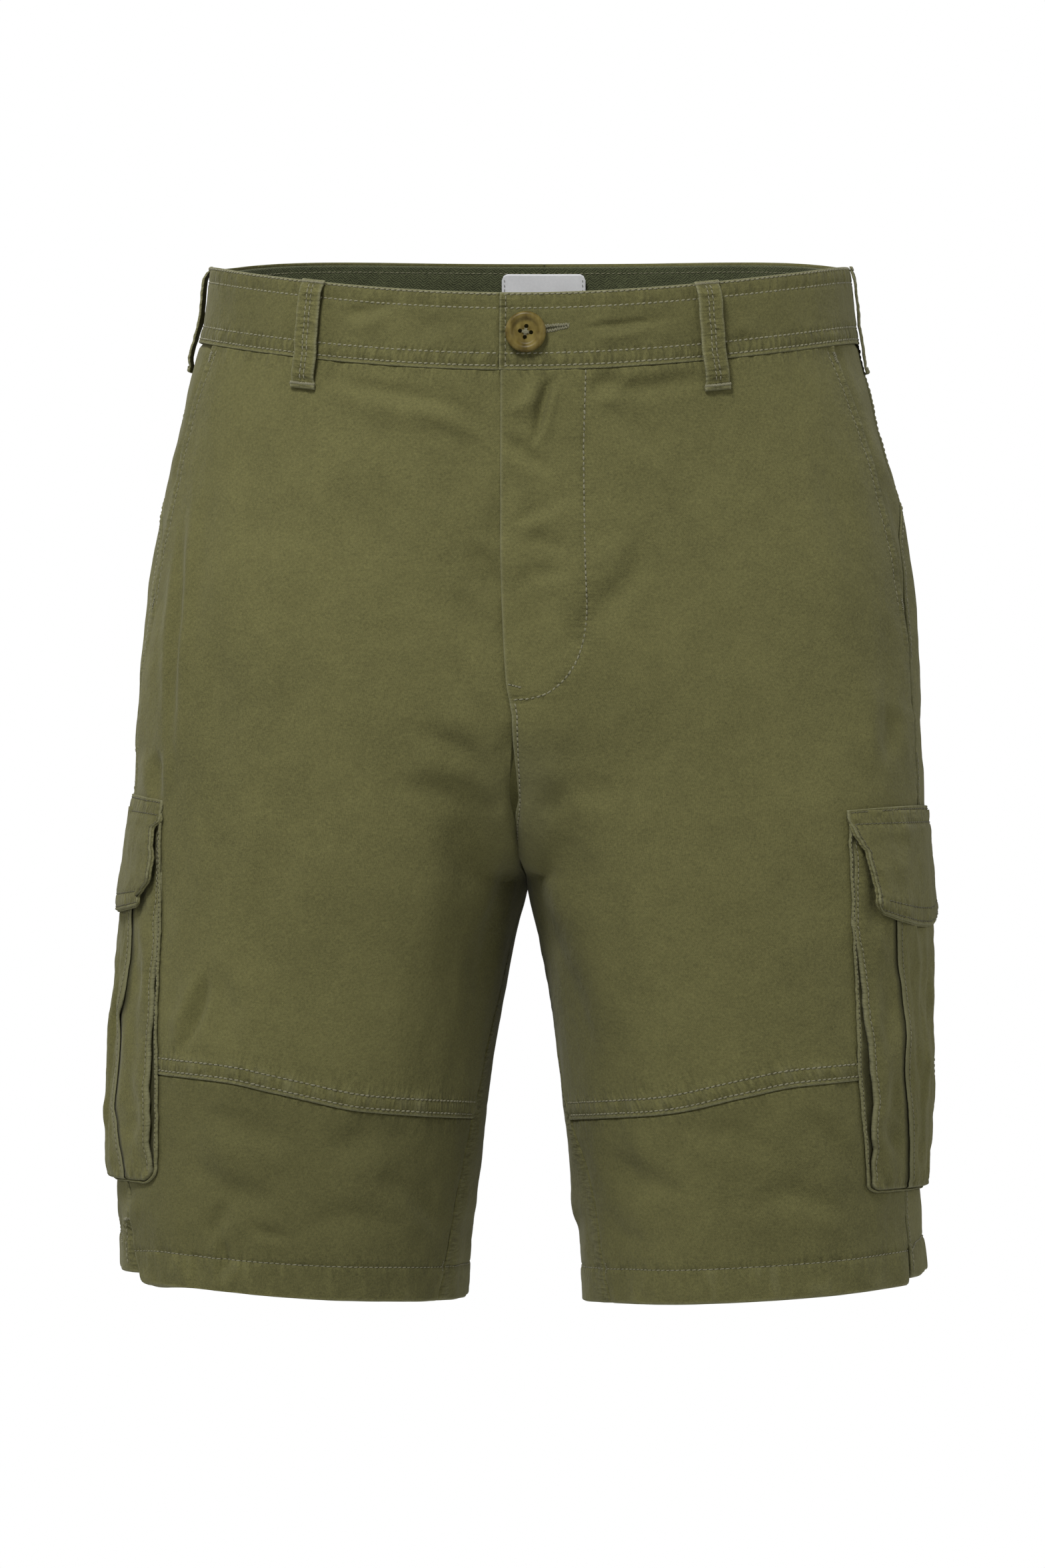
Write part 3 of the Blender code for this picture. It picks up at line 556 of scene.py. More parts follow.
def cloth_uv(top, z):
    """Cloth coordinates in mm: along each row from its middle, and height."""
    step = np.linalg.norm(np.diff(top, axis=1), axis=-1)
    run = np.concatenate([np.zeros((len(top), 1)), np.cumsum(step, axis=1)], axis=1)
    run = run - run[:, run.shape[1] // 2][:, None]
    return np.stack([run, z], axis=-1)


def laid(side, u, z, off, extra=0.0):
    """Points of a layer over the body, folds included, and their normals."""
    p, n = body(side, u, z), normal(side, u, z)
    return p + n * (off + slack(p, n) + extra)[..., None], n


def close_to(d, width=6.0, start=0.0):
    """1 at a seam and fading over a width in mm."""
    return np.exp(-np.clip(d - start, 0, None) / width)


def cloth(name, side, u, z, layer, mat, node=None, step=3, gathers=None):
    """A panel. layer(side, u, z) gives its outer and inner offset, and its wear and painted shading."""
    p, n = body(side, u, z), normal(side, u, z)
    d = slack(p, n)
    off, deep, wear_and_painted_shading = layer(side, u, z)
    top = p + n * (off + d)[..., None]
    under = p + n * (deep + d)[..., None]
    obj = shell(name, top, under, mat, cloth_uv(top, z), wear_and_painted_shading, step, gathers)
    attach(obj, "root")
    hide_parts(node or name)
    return obj


def to_step(values, step=3):
    """Rows or columns, with midpoints added until they suit the inner grid."""
    v = sorted(set(round(float(x), 4) for x in values))
    while (len(v) - 1) % step:
        k = int(np.argmax(np.diff(v)))
        v.insert(k + 1, (v[k] + v[k + 1]) / 2)
    return np.array(v)


def spread(side, z, edge0, edge1, left, right, mid):
    """u of each column: the first ones at set distances in mm from one edge, the
    last ones from the other, and even ones between."""
    total = len(left) + mid + len(right)
    assert z.shape[1] == total
    u = np.empty(z.shape)
    u0, u1 = edge0(z), edge1(z)
    a0, a1 = arc(side, u0, z), arc(side, u1, z)
    start, end = u0 + left[-1] / a0, u1 - right[-1] / a1
    for j in range(total):
        if j < len(left):
            u[:, j] = u0[:, j] + left[j] / a0[:, j]
        elif j < len(left) + mid:
            t = (j - len(left) + 1) / (mid + 1)
            u[:, j] = start[:, j] + (end[:, j] - start[:, j]) * t
        else:
            u[:, j] = u1[:, j] - right[total - 1 - j] / a1[:, j]
    return u


def shares(left, right, mid, width):
    """Rough share of the width at each column."""
    first = [max(d, 0) / width for d in left]
    last = [1 - max(d, 0) / width for d in right[::-1]]
    between = [first[-1] + (last[0] - first[-1]) * (k + 1) / (mid + 1) for k in range(mid)]
    return np.clip(np.array(first + between + last), 0, 1)


def mid_count(left, right, width, pitch, step=3):
    n = max(3, int(round((width - left[-1] - right[-1]) / pitch)))
    while (len(left) + n + len(right) - 1) % step:
        n += 1
    return n


# ------------------------------------------------------------------ small shapes
def roll(d, r):
    """The drop of a folded edge of radius r at distance d inside it."""
    t = np.clip(1 - np.clip(d, 0, None) / r, 0, 1)
    return r * (1 - np.sqrt(1 - t * t))


def dip(d, width=1.1, depth=0.3):
    return depth * np.exp(-((d / width) ** 2))


def pucker(s, d, seed, pitch=3.4):
    """Short gathers across a row of stitches: s runs along it, d across."""
    a = noise2(s / pitch, d / 16.0, seed)
    b = noise2(s / (pitch * 2.7), d / 22.0, seed + 5.0)
    return 0.62 * a + 0.55 * b


def line_distance(x, z, points):
    best = np.full(np.shape(x), 1e9)
    pts = np.array(points, float)
    for a, b in zip(pts, pts[1:]):
        s = b - a
        t = np.clip(((x - a[0]) * s[0] + (z - a[1]) * s[1]) / (s @ s), 0, 1)
        best = np.minimum(best, np.hypot(x - a[0] - t * s[0], z - a[1] - t * s[1]))
    return best


# ---------------------------------------------------------------------- threads
class Thread:
    """Stitches of one piece: small rounded lengths of thread, joined at the end."""

    def __init__(self):
        self.centre, self.along, self.up, self.size = [], [], [], []
        self.holes = []

    def add(self, centre, along, up, length, thick):
        self.centre.append(centre)
        self.along.append(along / np.linalg.norm(along, axis=-1, keepdims=True))
        self.up.append(up)
        self.size.append(np.stack([np.broadcast_to(length, len(centre)), np.broadcast_to(thick, len(centre))], -1))

    def row(self, p, n, pitch=STITCH, length=2.15, thick=0.9, lift=0.02, jitter=0.09):
        """Running stitches along a dense line of points."""
        step = np.linalg.norm(np.diff(p, axis=0), axis=1)
        run = np.concatenate([[0.0], np.cumsum(step)])
        count = int(run[-1] / pitch)
        if count < 1:
            return
        s = (np.arange(count) + 0.5) * run[-1] / count
        s = s + _threads.normal(0, jitter, count)
        at = lambda q, v: np.stack([np.interp(q, run, v[:, i]) for i in range(3)], -1)
        c, up = at(s, p), at(s, n)
        up /= np.linalg.norm(up, axis=1, keepdims=True)
        half = length / 2
        along = at(np.minimum(s + half, run[-1]), p) - at(np.maximum(s - half, 0), p)
        swing = np.cross(up, along)
        along = along + swing * (0.14 + _threads.normal(0, 0.07, (count, 1)))
        size = length * (1 + _threads.normal(0, 0.07, count))
        self.add(c + up * (lift + thick * 0.12), along, up, size, thick * (1 + _threads.normal(0, 0.08, count)))
        # the needle holes between them, where the thread goes down; dark lens shapes put there paint their shade
        h = at((s[:-1] + s[1:]) / 2, p)
        hn = (up[:-1] + up[1:]) / 2
        self.holes.append((h, along[:-1], hn))

    def tack(self, p, n, width=2.4, pitch=0.5, thick=0.42, lift=0.12):
        """A bartack: close stitches across a short line of points."""
        step = np.linalg.norm(np.diff(p, axis=0), axis=1)
        run = np.concatenate([[0.0], np.cumsum(step)])
        count = max(3, int(run[-1] / pitch))
        s = (np.arange(count) + 0.5) * run[-1] / count
        at = lambda q, v: np.stack([np.interp(q, run, v[:, i]) for i in range(3)], -1)
        c, up = at(s, p), at(s, n)
        up /= np.linalg.norm(up, axis=1, keepdims=True)
        along = at(np.minimum(s + 0.5, run[-1]), p) - at(np.maximum(s - 0.5, 0), p)
        across = np.cross(up, along)
        across /= np.linalg.norm(across, axis=1, keepdims=True)
        lean = 0.25 * (1 - 2 * (np.arange(count) % 2))[:, None]
        along /= np.linalg.norm(along, axis=1, keepdims=True)
        size = width * (1 + _threads.normal(0, 0.07, count))
        c = c + across * _threads.normal(0, 0.08, (count, 1)) + up * (lift + _threads.uniform(0, 0.12, (count, 1)))
        self.add(c, across + lean * along, up, size, thick)

    def build(self, name, mat):
        c, t, n = np.concatenate(self.centre), np.concatenate(self.along), np.concatenate(self.up)
        size = np.concatenate(self.size)
        b = np.cross(n, t)
        b /= np.linalg.norm(b, axis=1, keepdims=True)
        n = np.cross(t, b)
        rings = ((-0.84, 0.72, -0.16), (-0.34, 1.0, 0.1), (0.34, 1.0, 0.1), (0.84, 0.72, -0.16))
        local = [(-1.0, 0.0, -0.45)]
        for x, r, h in rings:
            for k in range(5):
                w = 2 * math.pi * (k + 0.25) / 5
                local.append((x, r * math.cos(w), r * math.sin(w) * 0.85 + h))
        local.append((1.0, 0.0, -0.45))
        local = np.array(local)
        half, rad = size[:, :1] / 2, size[:, 1:] / 2
        v = (c[:, None, :] + t[:, None, :] * (local[None, :, 0:1] * half[:, None, :])
             + b[:, None, :] * (local[None, :, 1:2] * rad[:, None, :])
             + n[:, None, :] * (local[None, :, 2:3] * rad[:, None, :]))
        q, tr = [], []
        for r in range(3):
            for k in range(5):
                a, d = 1 + 5 * r + k, 1 + 5 * r + (k + 1) % 5
                q.append((a, d, d + 5, a + 5))
        for k in range(5):
            tr.append((0, 1 + (k + 1) % 5, 1 + k))
            tr.append((21, 16 + k, 16 + (k + 1) % 5))
        base = (np.arange(len(c)) * 22)[:, None, None]
        quads = (np.array(q)[None] + base).reshape(-1, 4)
        tris = (np.array(tr)[None] + base).reshape(-1, 3)
        # outward faces
        f = v[0]
        mid = f[np.array(q[0])].mean(0)
        face = np.cross(f[q[0][1]] - f[q[0][0]], f[q[0][2]] - f[q[0][0]])
        if face @ (mid - c[0]) < 0:
            quads, tris = quads[:, ::-1], tris[:, ::-1]
        obj = add_mesh(name, v.reshape(-1, 3), quads, tris, mat)
        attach(obj, "root")
        return obj

    def build_hole_shade(self, name, mat):
        """Small sunk dark lens shapes, one in each needle hole: painted shade of the holes."""
        h = np.concatenate([x[0] for x in self.holes])
        t = np.concatenate([x[1] for x in self.holes])
        n = np.concatenate([x[2] for x in self.holes])
        t = t / np.linalg.norm(t, axis=1, keepdims=True)
        b = np.cross(n, t)
        b /= np.linalg.norm(b, axis=1, keepdims=True)
        n = np.cross(t, b)
        local = [(0, 0, 0.2), (0, 0, -0.3)] + [(0.42 * math.cos(w), 0.45 * math.sin(w), 0.0) for w in 2 * np.pi * np.arange(6) / 6]
        local = np.array(local)
        v = h[:, None, :] + t[:, None, :] * local[None, :, 0:1] + b[:, None, :] * local[None, :, 1:2] + n[:, None, :] * local[None, :, 2:3]
        tr = []
        for k in range(6):
            a, c = 2 + k, 2 + (k + 1) % 6
            tr += [(0, a, c), (1, c, a)]
        tris = (np.array(tr)[None] + (np.arange(len(h)) * 8)[:, None, None]).reshape(-1, 3)
        obj = add_mesh(name, v.reshape(-1, 3), np.zeros((0, 4), int), tris, mat)
        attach(obj, "root")
        return obj


_threads = np.random.default_rng(23)


# -------------------------------------------------------------------- materials
def nodes_of(name):
    mat = bpy.data.materials.new(name)
    mat.use_nodes = True
    tree = mat.node_tree
    return mat, tree, tree.nodes["Principled BSDF"]


def math_node(tree, op, a, b=None, c=None, clamp=False):
    node = tree.nodes.new("ShaderNodeMath")
    node.operation = op
    node.use_clamp = clamp
    for k, v in enumerate((a, b, c)):
        if v is None:
            continue
        if isinstance(v, (int, float)):
            node.inputs[k].default_value = v
        else:
            tree.links.new(v, node.inputs[k])
    return node.outputs[0]


def noise_node(tree, vector, scale, detail=2.0, rough=0.5):
    node = tree.nodes.new("ShaderNodeTexNoise")
    node.inputs["Scale"].default_value = scale
    node.inputs["Detail"].default_value = detail
    node.inputs["Roughness"].default_value = rough
    tree.links.new(vector, node.inputs["Vector"])
    return node.outputs["Fac"]


def mix_colour(tree, factor, a, b):
    node = tree.nodes.new("ShaderNodeMix")
    node.data_type = "RGBA"
    for sock, v in ((node.inputs[0], factor), (node.inputs[6], a), (node.inputs[7], b)):
        if isinstance(v, (int, float)):
            sock.default_value = v
        elif isinstance(v, tuple):
            sock.default_value = (*v, 1.0)
        else:
            tree.links.new(v, sock)
    return node.outputs[2]


def scaled(tree, vector, scale):
    node = tree.nodes.new("ShaderNodeVectorMath")
    node.operation = "MULTIPLY"
    tree.links.new(vector, node.inputs[0])
    node.inputs[1].default_value = scale
    return node.outputs[0]


def twill_material(name, colour, worn_and_lit_colour, pitch=0.8, deep=0.68, herring=False, bump=0.5):
    mat, tree, shader = nodes_of(name)
    uv = tree.nodes.new("ShaderNodeUVMap")
    uv.uv_map = "cloth"
    cloth_v = uv.outputs[0]
    coord = tree.nodes.new("ShaderNodeTexCoord").outputs["Object"]
    sep = tree.nodes.new("ShaderNodeSeparateXYZ")
    tree.links.new(cloth_v, sep.inputs[0])
    x, y = sep.outputs[0], sep.outputs[1]
    # irregular yarns bend the twill lines a little
    bend = noise_node(tree, scaled(tree, cloth_v, (0.22, 0.22, 1.0)), 1.0, 2.0)
    bend = math_node(tree, "MULTIPLY", math_node(tree, "SUBTRACT", bend, 0.5), 1.6)
    if herring:
        fold = math_node(tree, "PINGPONG", x, 2.6)
        diag = math_node(tree, "ADD", math_node(tree, "MULTIPLY", fold, 0.8), math_node(tree, "MULTIPLY", y, 1.0))
    else:
        diag = math_node(tree, "ADD", math_node(tree, "MULTIPLY", x, 0.86), math_node(tree, "MULTIPLY", y, 0.52))
    diag = math_node(tree, "ADD", diag, bend)
    line = math_node(tree, "SINE", math_node(tree, "MULTIPLY", diag, 2 * math.pi / pitch))
    line = math_node(tree, "MULTIPLY_ADD", line, 0.5, 0.5)
    yarn = noise_node(tree, scaled(tree, cloth_v, (2.6, 0.55, 1.0)), 1.0, 2.0, 0.6)
    weft = noise_node(tree, scaled(tree, cloth_v, (0.5, 2.2, 1.0)), 1.0, 1.0, 0.6)
    fibre = math_node(tree, "MULTIPLY_ADD", yarn, 0.6, math_node(tree, "MULTIPLY", weft, 0.4))
    mottle = noise_node(tree, coord, 60.0, 6.0, 0.72)
    speck = noise_node(tree, coord, 900.0, 3.0, 0.75)
    cloud = noise_node(tree, coord, 9.0, 2.0, 0.5)
    # colour: darker between the lines, paler fibres, slow clouds of the dye
    dark = tuple(c * deep for c in colour)
    light = tuple(min(1.0, c * (2 - deep)) for c in colour)
    lines = 0.45 if herring else 0.12
    tone = math_node(tree, "MULTIPLY_ADD", line, lines, math_node(tree, "MULTIPLY", fibre, 1.0 - lines))
    tone = math_node(tree, "MULTIPLY_ADD", math_node(tree, "SUBTRACT", mottle, 0.5), 0.42, tone)
    tone = math_node(tree, "MULTIPLY_ADD", math_node(tree, "SUBTRACT", speck, 0.5), 1.0, tone)
    tone = math_node(tree, "MULTIPLY_ADD", math_node(tree, "SUBTRACT", cloud, 0.5), 0.35, tone)
    # gathers beside the seams: pale on their ridges, dark between them
    gx = tree.nodes.new("ShaderNodeAttribute")
    gx.attribute_name = "gather_x"
    gz = tree.nodes.new("ShaderNodeAttribute")
    gz.attribute_name = "gather_z"
    ripple_x = noise_node(tree, scaled(tree, cloth_v, (0.50, 0.11, 1.0)), 1.0, 1.0, 0.5)
    ripple_z = noise_node(tree, scaled(tree, cloth_v, (0.11, 0.50, 1.0)), 1.0, 1.0, 0.5)
    ripple = math_node(tree, "MULTIPLY", math_node(tree, "SUBTRACT", ripple_x, 0.5), gx.outputs["Fac"])
    ripple = math_node(tree, "MULTIPLY_ADD", math_node(tree, "SUBTRACT", ripple_z, 0.5), gz.outputs["Fac"], ripple)
    tone = math_node(tree, "MULTIPLY_ADD", ripple, 1.7, tone)
    # painted shade: the gathers as a whole are darkened a little, for the shade that falls in them
    both = math_node(tree, "ADD", gx.outputs["Fac"], gz.outputs["Fac"])
    tone = math_node(tree, "MULTIPLY_ADD", both, -0.09, tone)
    tone = math_node(tree, "MULTIPLY_ADD", math_node(tree, "SUBTRACT", tone, 0.5), 1.7, 0.5, True)
    base = mix_colour(tree, tone, dark, light)
    wear_and_painted_shading = tree.nodes.new("ShaderNodeAttribute")
    wear_and_painted_shading.attribute_name = "wear_and_painted_shading"
    # positive values of the attribute lighten the cloth towards the pale colour: wear on edges and crests, and painted
    # light on the inner thighs
    rub_and_painted_light = math_node(tree, "MULTIPLY", wear_and_painted_shading.outputs["Fac"], math_node(tree, "MULTIPLY_ADD", fibre, 1.2, 0.35), None, True)
    base = mix_colour(tree, rub_and_painted_light, base, worn_and_lit_colour)
    # negative values darken it towards a near-black of its own hue: painted shade in the bellows' recess, the pleat's
    # tucked folds and under the flap's edges, and a darker tone on the lower panels and the waistband
    dark_tone_and_painted_shade = math_node(tree, "MULTIPLY", wear_and_painted_shading.outputs["Fac"], -0.76, None, True)
    base = mix_colour(tree, dark_tone_and_painted_shade, base, tuple(c * 0.16 for c in colour))
    tree.links.new(base, shader.inputs["Base Color"])
    shader.inputs["Roughness"].default_value = 0.9
    shader.inputs["Specular IOR Level"].default_value = 0.22
    shader.inputs["Sheen Weight"].default_value = 0.12
    shader.inputs["Sheen Roughness"].default_value = 0.45
    shader.inputs["Sheen Tint"].default_value = (0.75, 0.74, 0.6, 1.0)
    height = math_node(tree, "MULTIPLY_ADD", line, 0.5 if herring else 0.18, math_node(tree, "MULTIPLY", fibre, 0.7))
    crinkle = noise_node(tree, coord, 210.0, 4.0, 0.6)
    height = math_node(tree, "MULTIPLY_ADD", crinkle, 3.2, height)
    height = math_node(tree, "MULTIPLY_ADD", ripple, 11.0, height)
    b = tree.nodes.new("ShaderNodeBump")
    b.inputs["Strength"].default_value = bump
    b.inputs["Distance"].default_value = 0.00026
    tree.links.new(height, b.inputs["Height"])
    tree.links.new(b.outputs[0], shader.inputs["Normal"])
    return mat


def thread_material(name, colour):
    mat, tree, shader = nodes_of(name)
    coord = tree.nodes.new("ShaderNodeTexCoord").outputs["Object"]
    n = noise_node(tree, coord, 2600.0, 1.0)
    m = noise_node(tree, coord, 130.0, 2.0)
    f = math_node(tree, "MULTIPLY_ADD", n, 0.5, math_node(tree, "MULTIPLY", m, 0.5), True)
    base = mix_colour(tree, f, tuple(c * 0.68 for c in colour), tuple(min(1, c * 1.32) for c in colour))
    tree.links.new(base, shader.inputs["Base Color"])
    shader.inputs["Roughness"].default_value = 0.72
    shader.inputs["Specular IOR Level"].default_value = 0.3
    shader.inputs["Sheen Weight"].default_value = 0.1
    b = tree.nodes.new("ShaderNodeBump")
    b.inputs["Strength"].default_value = 0.4
    b.inputs["Distance"].default_value = 0.0001
    tree.links.new(n, b.inputs["Height"])
    tree.links.new(b.outputs[0], shader.inputs["Normal"])
    return mat


def horn_material(name):
    mat, tree, shader = nodes_of(name)
    coord = tree.nodes.new("ShaderNodeTexCoord").outputs["Object"]
    streak = noise_node(tree, scaled(tree, coord, (260.0, 60.0, 110.0)), 1.0, 3.0, 0.6)
    cloud = noise_node(tree, coord, 190.0, 2.0)
    f = math_node(tree, "MULTIPLY_ADD", streak, 0.75, math_node(tree, "MULTIPLY", cloud, 0.45))
    ramp = tree.nodes.new("ShaderNodeValToRGB")
    e = ramp.color_ramp.elements
    e[0].position, e[0].color = 0.36, (0.028, 0.019, 0.004, 1)
    e[1].position, e[1].color = 0.78, (0.198, 0.154, 0.043, 1)
    mid = ramp.color_ramp.elements.new(0.56)
    mid.color = (0.118, 0.086, 0.020, 1)
    tree.links.new(f, ramp.inputs[0])
    tree.links.new(ramp.outputs[0], shader.inputs["Base Color"])
    shader.inputs["Roughness"].default_value = 0.4
    shader.inputs["Specular IOR Level"].default_value = 0.2
    b = tree.nodes.new("ShaderNodeBump")
    b.inputs["Strength"].default_value = 0.15
    b.inputs["Distance"].default_value = 0.0001
    tree.links.new(streak, b.inputs["Height"])
    tree.links.new(b.outputs[0], shader.inputs["Normal"])
    return mat


def label_material(name):
    mat, tree, shader = nodes_of(name)
    coord = tree.nodes.new("ShaderNodeTexCoord").outputs["Object"]
    sep = tree.nodes.new("ShaderNodeSeparateXYZ")
    tree.links.new(coord, sep.inputs[0])
    warp = math_node(tree, "SINE", math_node(tree, "MULTIPLY", sep.outputs[0], 2 * math.pi / 0.0006))
    weft = math_node(tree, "SINE", math_node(tree, "MULTIPLY", sep.outputs[2], 2 * math.pi / 0.0005))
    weave = math_node(tree, "MULTIPLY_ADD", math_node(tree, "MULTIPLY", warp, weft), 0.5, 0.5)
    n = noise_node(tree, coord, 900.0, 2.0)
    f = math_node(tree, "MULTIPLY_ADD", weave, 0.4, math_node(tree, "MULTIPLY", n, 0.6), True)
    base = mix_colour(tree, f, (0.58, 0.585, 0.60), (0.74, 0.74, 0.745))
    tree.links.new(base, shader.inputs["Base Color"])
    shader.inputs["Roughness"].default_value = 0.62
    shader.inputs["Sheen Weight"].default_value = 0.1
    b = tree.nodes.new("ShaderNodeBump")
    b.inputs["Strength"].default_value = 0.35
    b.inputs["Distance"].default_value = 0.0001
    tree.links.new(f, b.inputs["Height"])
    tree.links.new(b.outputs[0], shader.inputs["Normal"])
    return mat


# the second colour is the pale one used for wear and for the painted light on the inner thighs
TWILL = twill_material("twill", (0.130, 0.123, 0.0455), (0.215, 0.21, 0.118), bump=0.75)
FACING = twill_material("herringbone", (0.064, 0.071, 0.034), (0.13, 0.135, 0.08), pitch=1.3, deep=0.45, herring=True, bump=0.9)
THREAD = thread_material("thread", (0.215, 0.205, 0.128))
FLAP_THREAD = thread_material("flap_thread", (0.115, 0.108, 0.058))
# a near-black thread, also used for the lens shapes that paint the shade in the needle holes
DARK_THREAD_AND_HOLE_SHADE = thread_material("dark_thread_and_hole_shade", (0.044, 0.042, 0.018))
HORN = horn_material("horn")
LABEL = label_material("woven_label")

front_thread, leg_thread, band_thread, pocket_thread, flap_thread = Thread(), Thread(), Thread(), Thread(), Thread()


# ----------------------------------------------------------------- front panels
def front_end(z):
    """The front's outer edge: the pocket mouth, then the side seam."""
    return np.where(z > MOUTH_END, mouth_u(z), side_u(z))


def under_side(z):
    """1 where the front's outer edge runs under the back panel."""
    return smoothstep((MOUTH_END + 2 - z) / 6.0)


def front_layer(side, u, z):
    a = arc(side, u, z)
    u0, u1 = front_start_u(side, z), front_end(z)
    dl, dr = (u - u0) * a, (u1 - u) * a
    share = np.clip((u - u0) / (u1 - u0), 0, 1)
    db = z - leg_seam_z(share)
    x = side * body(side, u, z)[..., 0]
    s = u * 520.0
    off = np.zeros(u.shape)
    # under the waistband
    off = off - 1.15 * smoothstep((z + 19.3) / 0.7) - 0.8 * smoothstep((z + 18.6) / 1.8)
    off = off + 0.75 * pucker(s, z, 3 + side, 3.4) * np.exp(-np.clip(-19 - z, 0, None) / 9.0)
    # raised seam allowance over the lower panel
    in_pocket = smoothstep((u - lip_u[side](z)) * a / 1.5) * (z < -262)
    gather = pucker(x, db, 11 + side, 2.3) * (1 - in_pocket)
    raised = smoothstep((10.4 - db) / 1.4) * (1 - in_pocket)
    off = off + 0.8 * raised
    off = off + 0.7 * gather * smoothstep((14 - db) / 6.0) * smoothstep(db / 1.0)
    for row in SEAM_ROWS:
        off = off - dip(db - row, 1.0, 0.5)
    off = off - roll(db, 0.9)
    # pocket mouth: folded edge with its stitched hem; lower down it runs under
    below = under_side(z)
    off = off - (1 - below) * roll(dr, 0.9) + (1 - below) * 0.3 * smoothstep((8.5 - dr) / 2.0)
    off = off - below * 1.5 * smoothstep((1.6 - dr) / 1.6)
    off = off - dip(dr - 6.3, 1.1, 0.4) * (1 - below) + 0.5 * pucker(z, dr, 17 + side) * smoothstep((9 - dr) / 4.0)
    fly_zone = z > CROTCH_Z + 2
    if side > 0:
        off = off - roll(dl, 0.45)
        j = line_distance(x, z, J_LINE)
        inside = smoothstep((34.0 - x) / 2.5) * smoothstep((z + 196) / 3.0)
        off = off + np.where(fly_zone, 0.45 * inside, 0) - dip(j, 1.2, 0.5) * (z < -19)
        off = off + 0.45 * pucker(z, x, 29.0, 4.2) * np.exp(-((j / 7.0) ** 2))
        crotch = smoothstep((-194 - z) / 3.0)
        off = off - crotch * dip(dl - 2.6, 1.1, 0.4) + 0.3 * pucker(z, dl, 31.0, 4.4) * np.exp(-np.clip(dl, 0, None) / 6.0)
        wear_and_painted_shading = 0.55 * np.exp(-((dl / 0.9) ** 2)) * fly_zone + 0.25 * crotch * np.exp(-((dl / 2.2) ** 2))
    else:
        off = off - (0.9 * smoothstep((0.15 - dl) / 0.6) + 1.2 * smoothstep((-0.6 - dl) / 1.6)) * fly_zone
        off = off - 2.3 * np.exp(-np.clip(dl, 0, None) / 13.0) * smoothstep((-60.0 - z) / 60.0) * smoothstep((z + 260) / 50.0)
        off = off - 0.7 * smoothstep((1.2 - dl) / 1.2) * (1 - fly_zone)
        wear_and_painted_shading = 0.0 * dl
    wear_and_painted_shading = wear_and_painted_shading + 0.9 * np.exp(-((db / 0.8) ** 2)) + 0.3 * raised * np.clip(gather, 0, 1)
    wear_and_painted_shading = wear_and_painted_shading + (1 - below) * 0.75 * np.exp(-((dr / 0.8) ** 2))
    # painted light: the inner thighs are coloured lighter, the wearer's left one more, to lift the shade there
    inner_thigh_painted_light = smoothstep((-200 - z) / 45.0) * smoothstep((z + 450) / 70.0)
    wear_and_painted_shading = wear_and_painted_shading + (0.24 if side > 0 else 0.06) * inner_thigh_painted_light * np.exp(-((dl / 34.0) ** 2))
    deep = np.minimum(off, 0.3) - 1.25
    deep = np.where(z > -18.9, np.maximum(deep, -2.35), deep)
    return off, np.minimum(deep, off - 0.3), np.clip(wear_and_painted_shading, 0, 1)


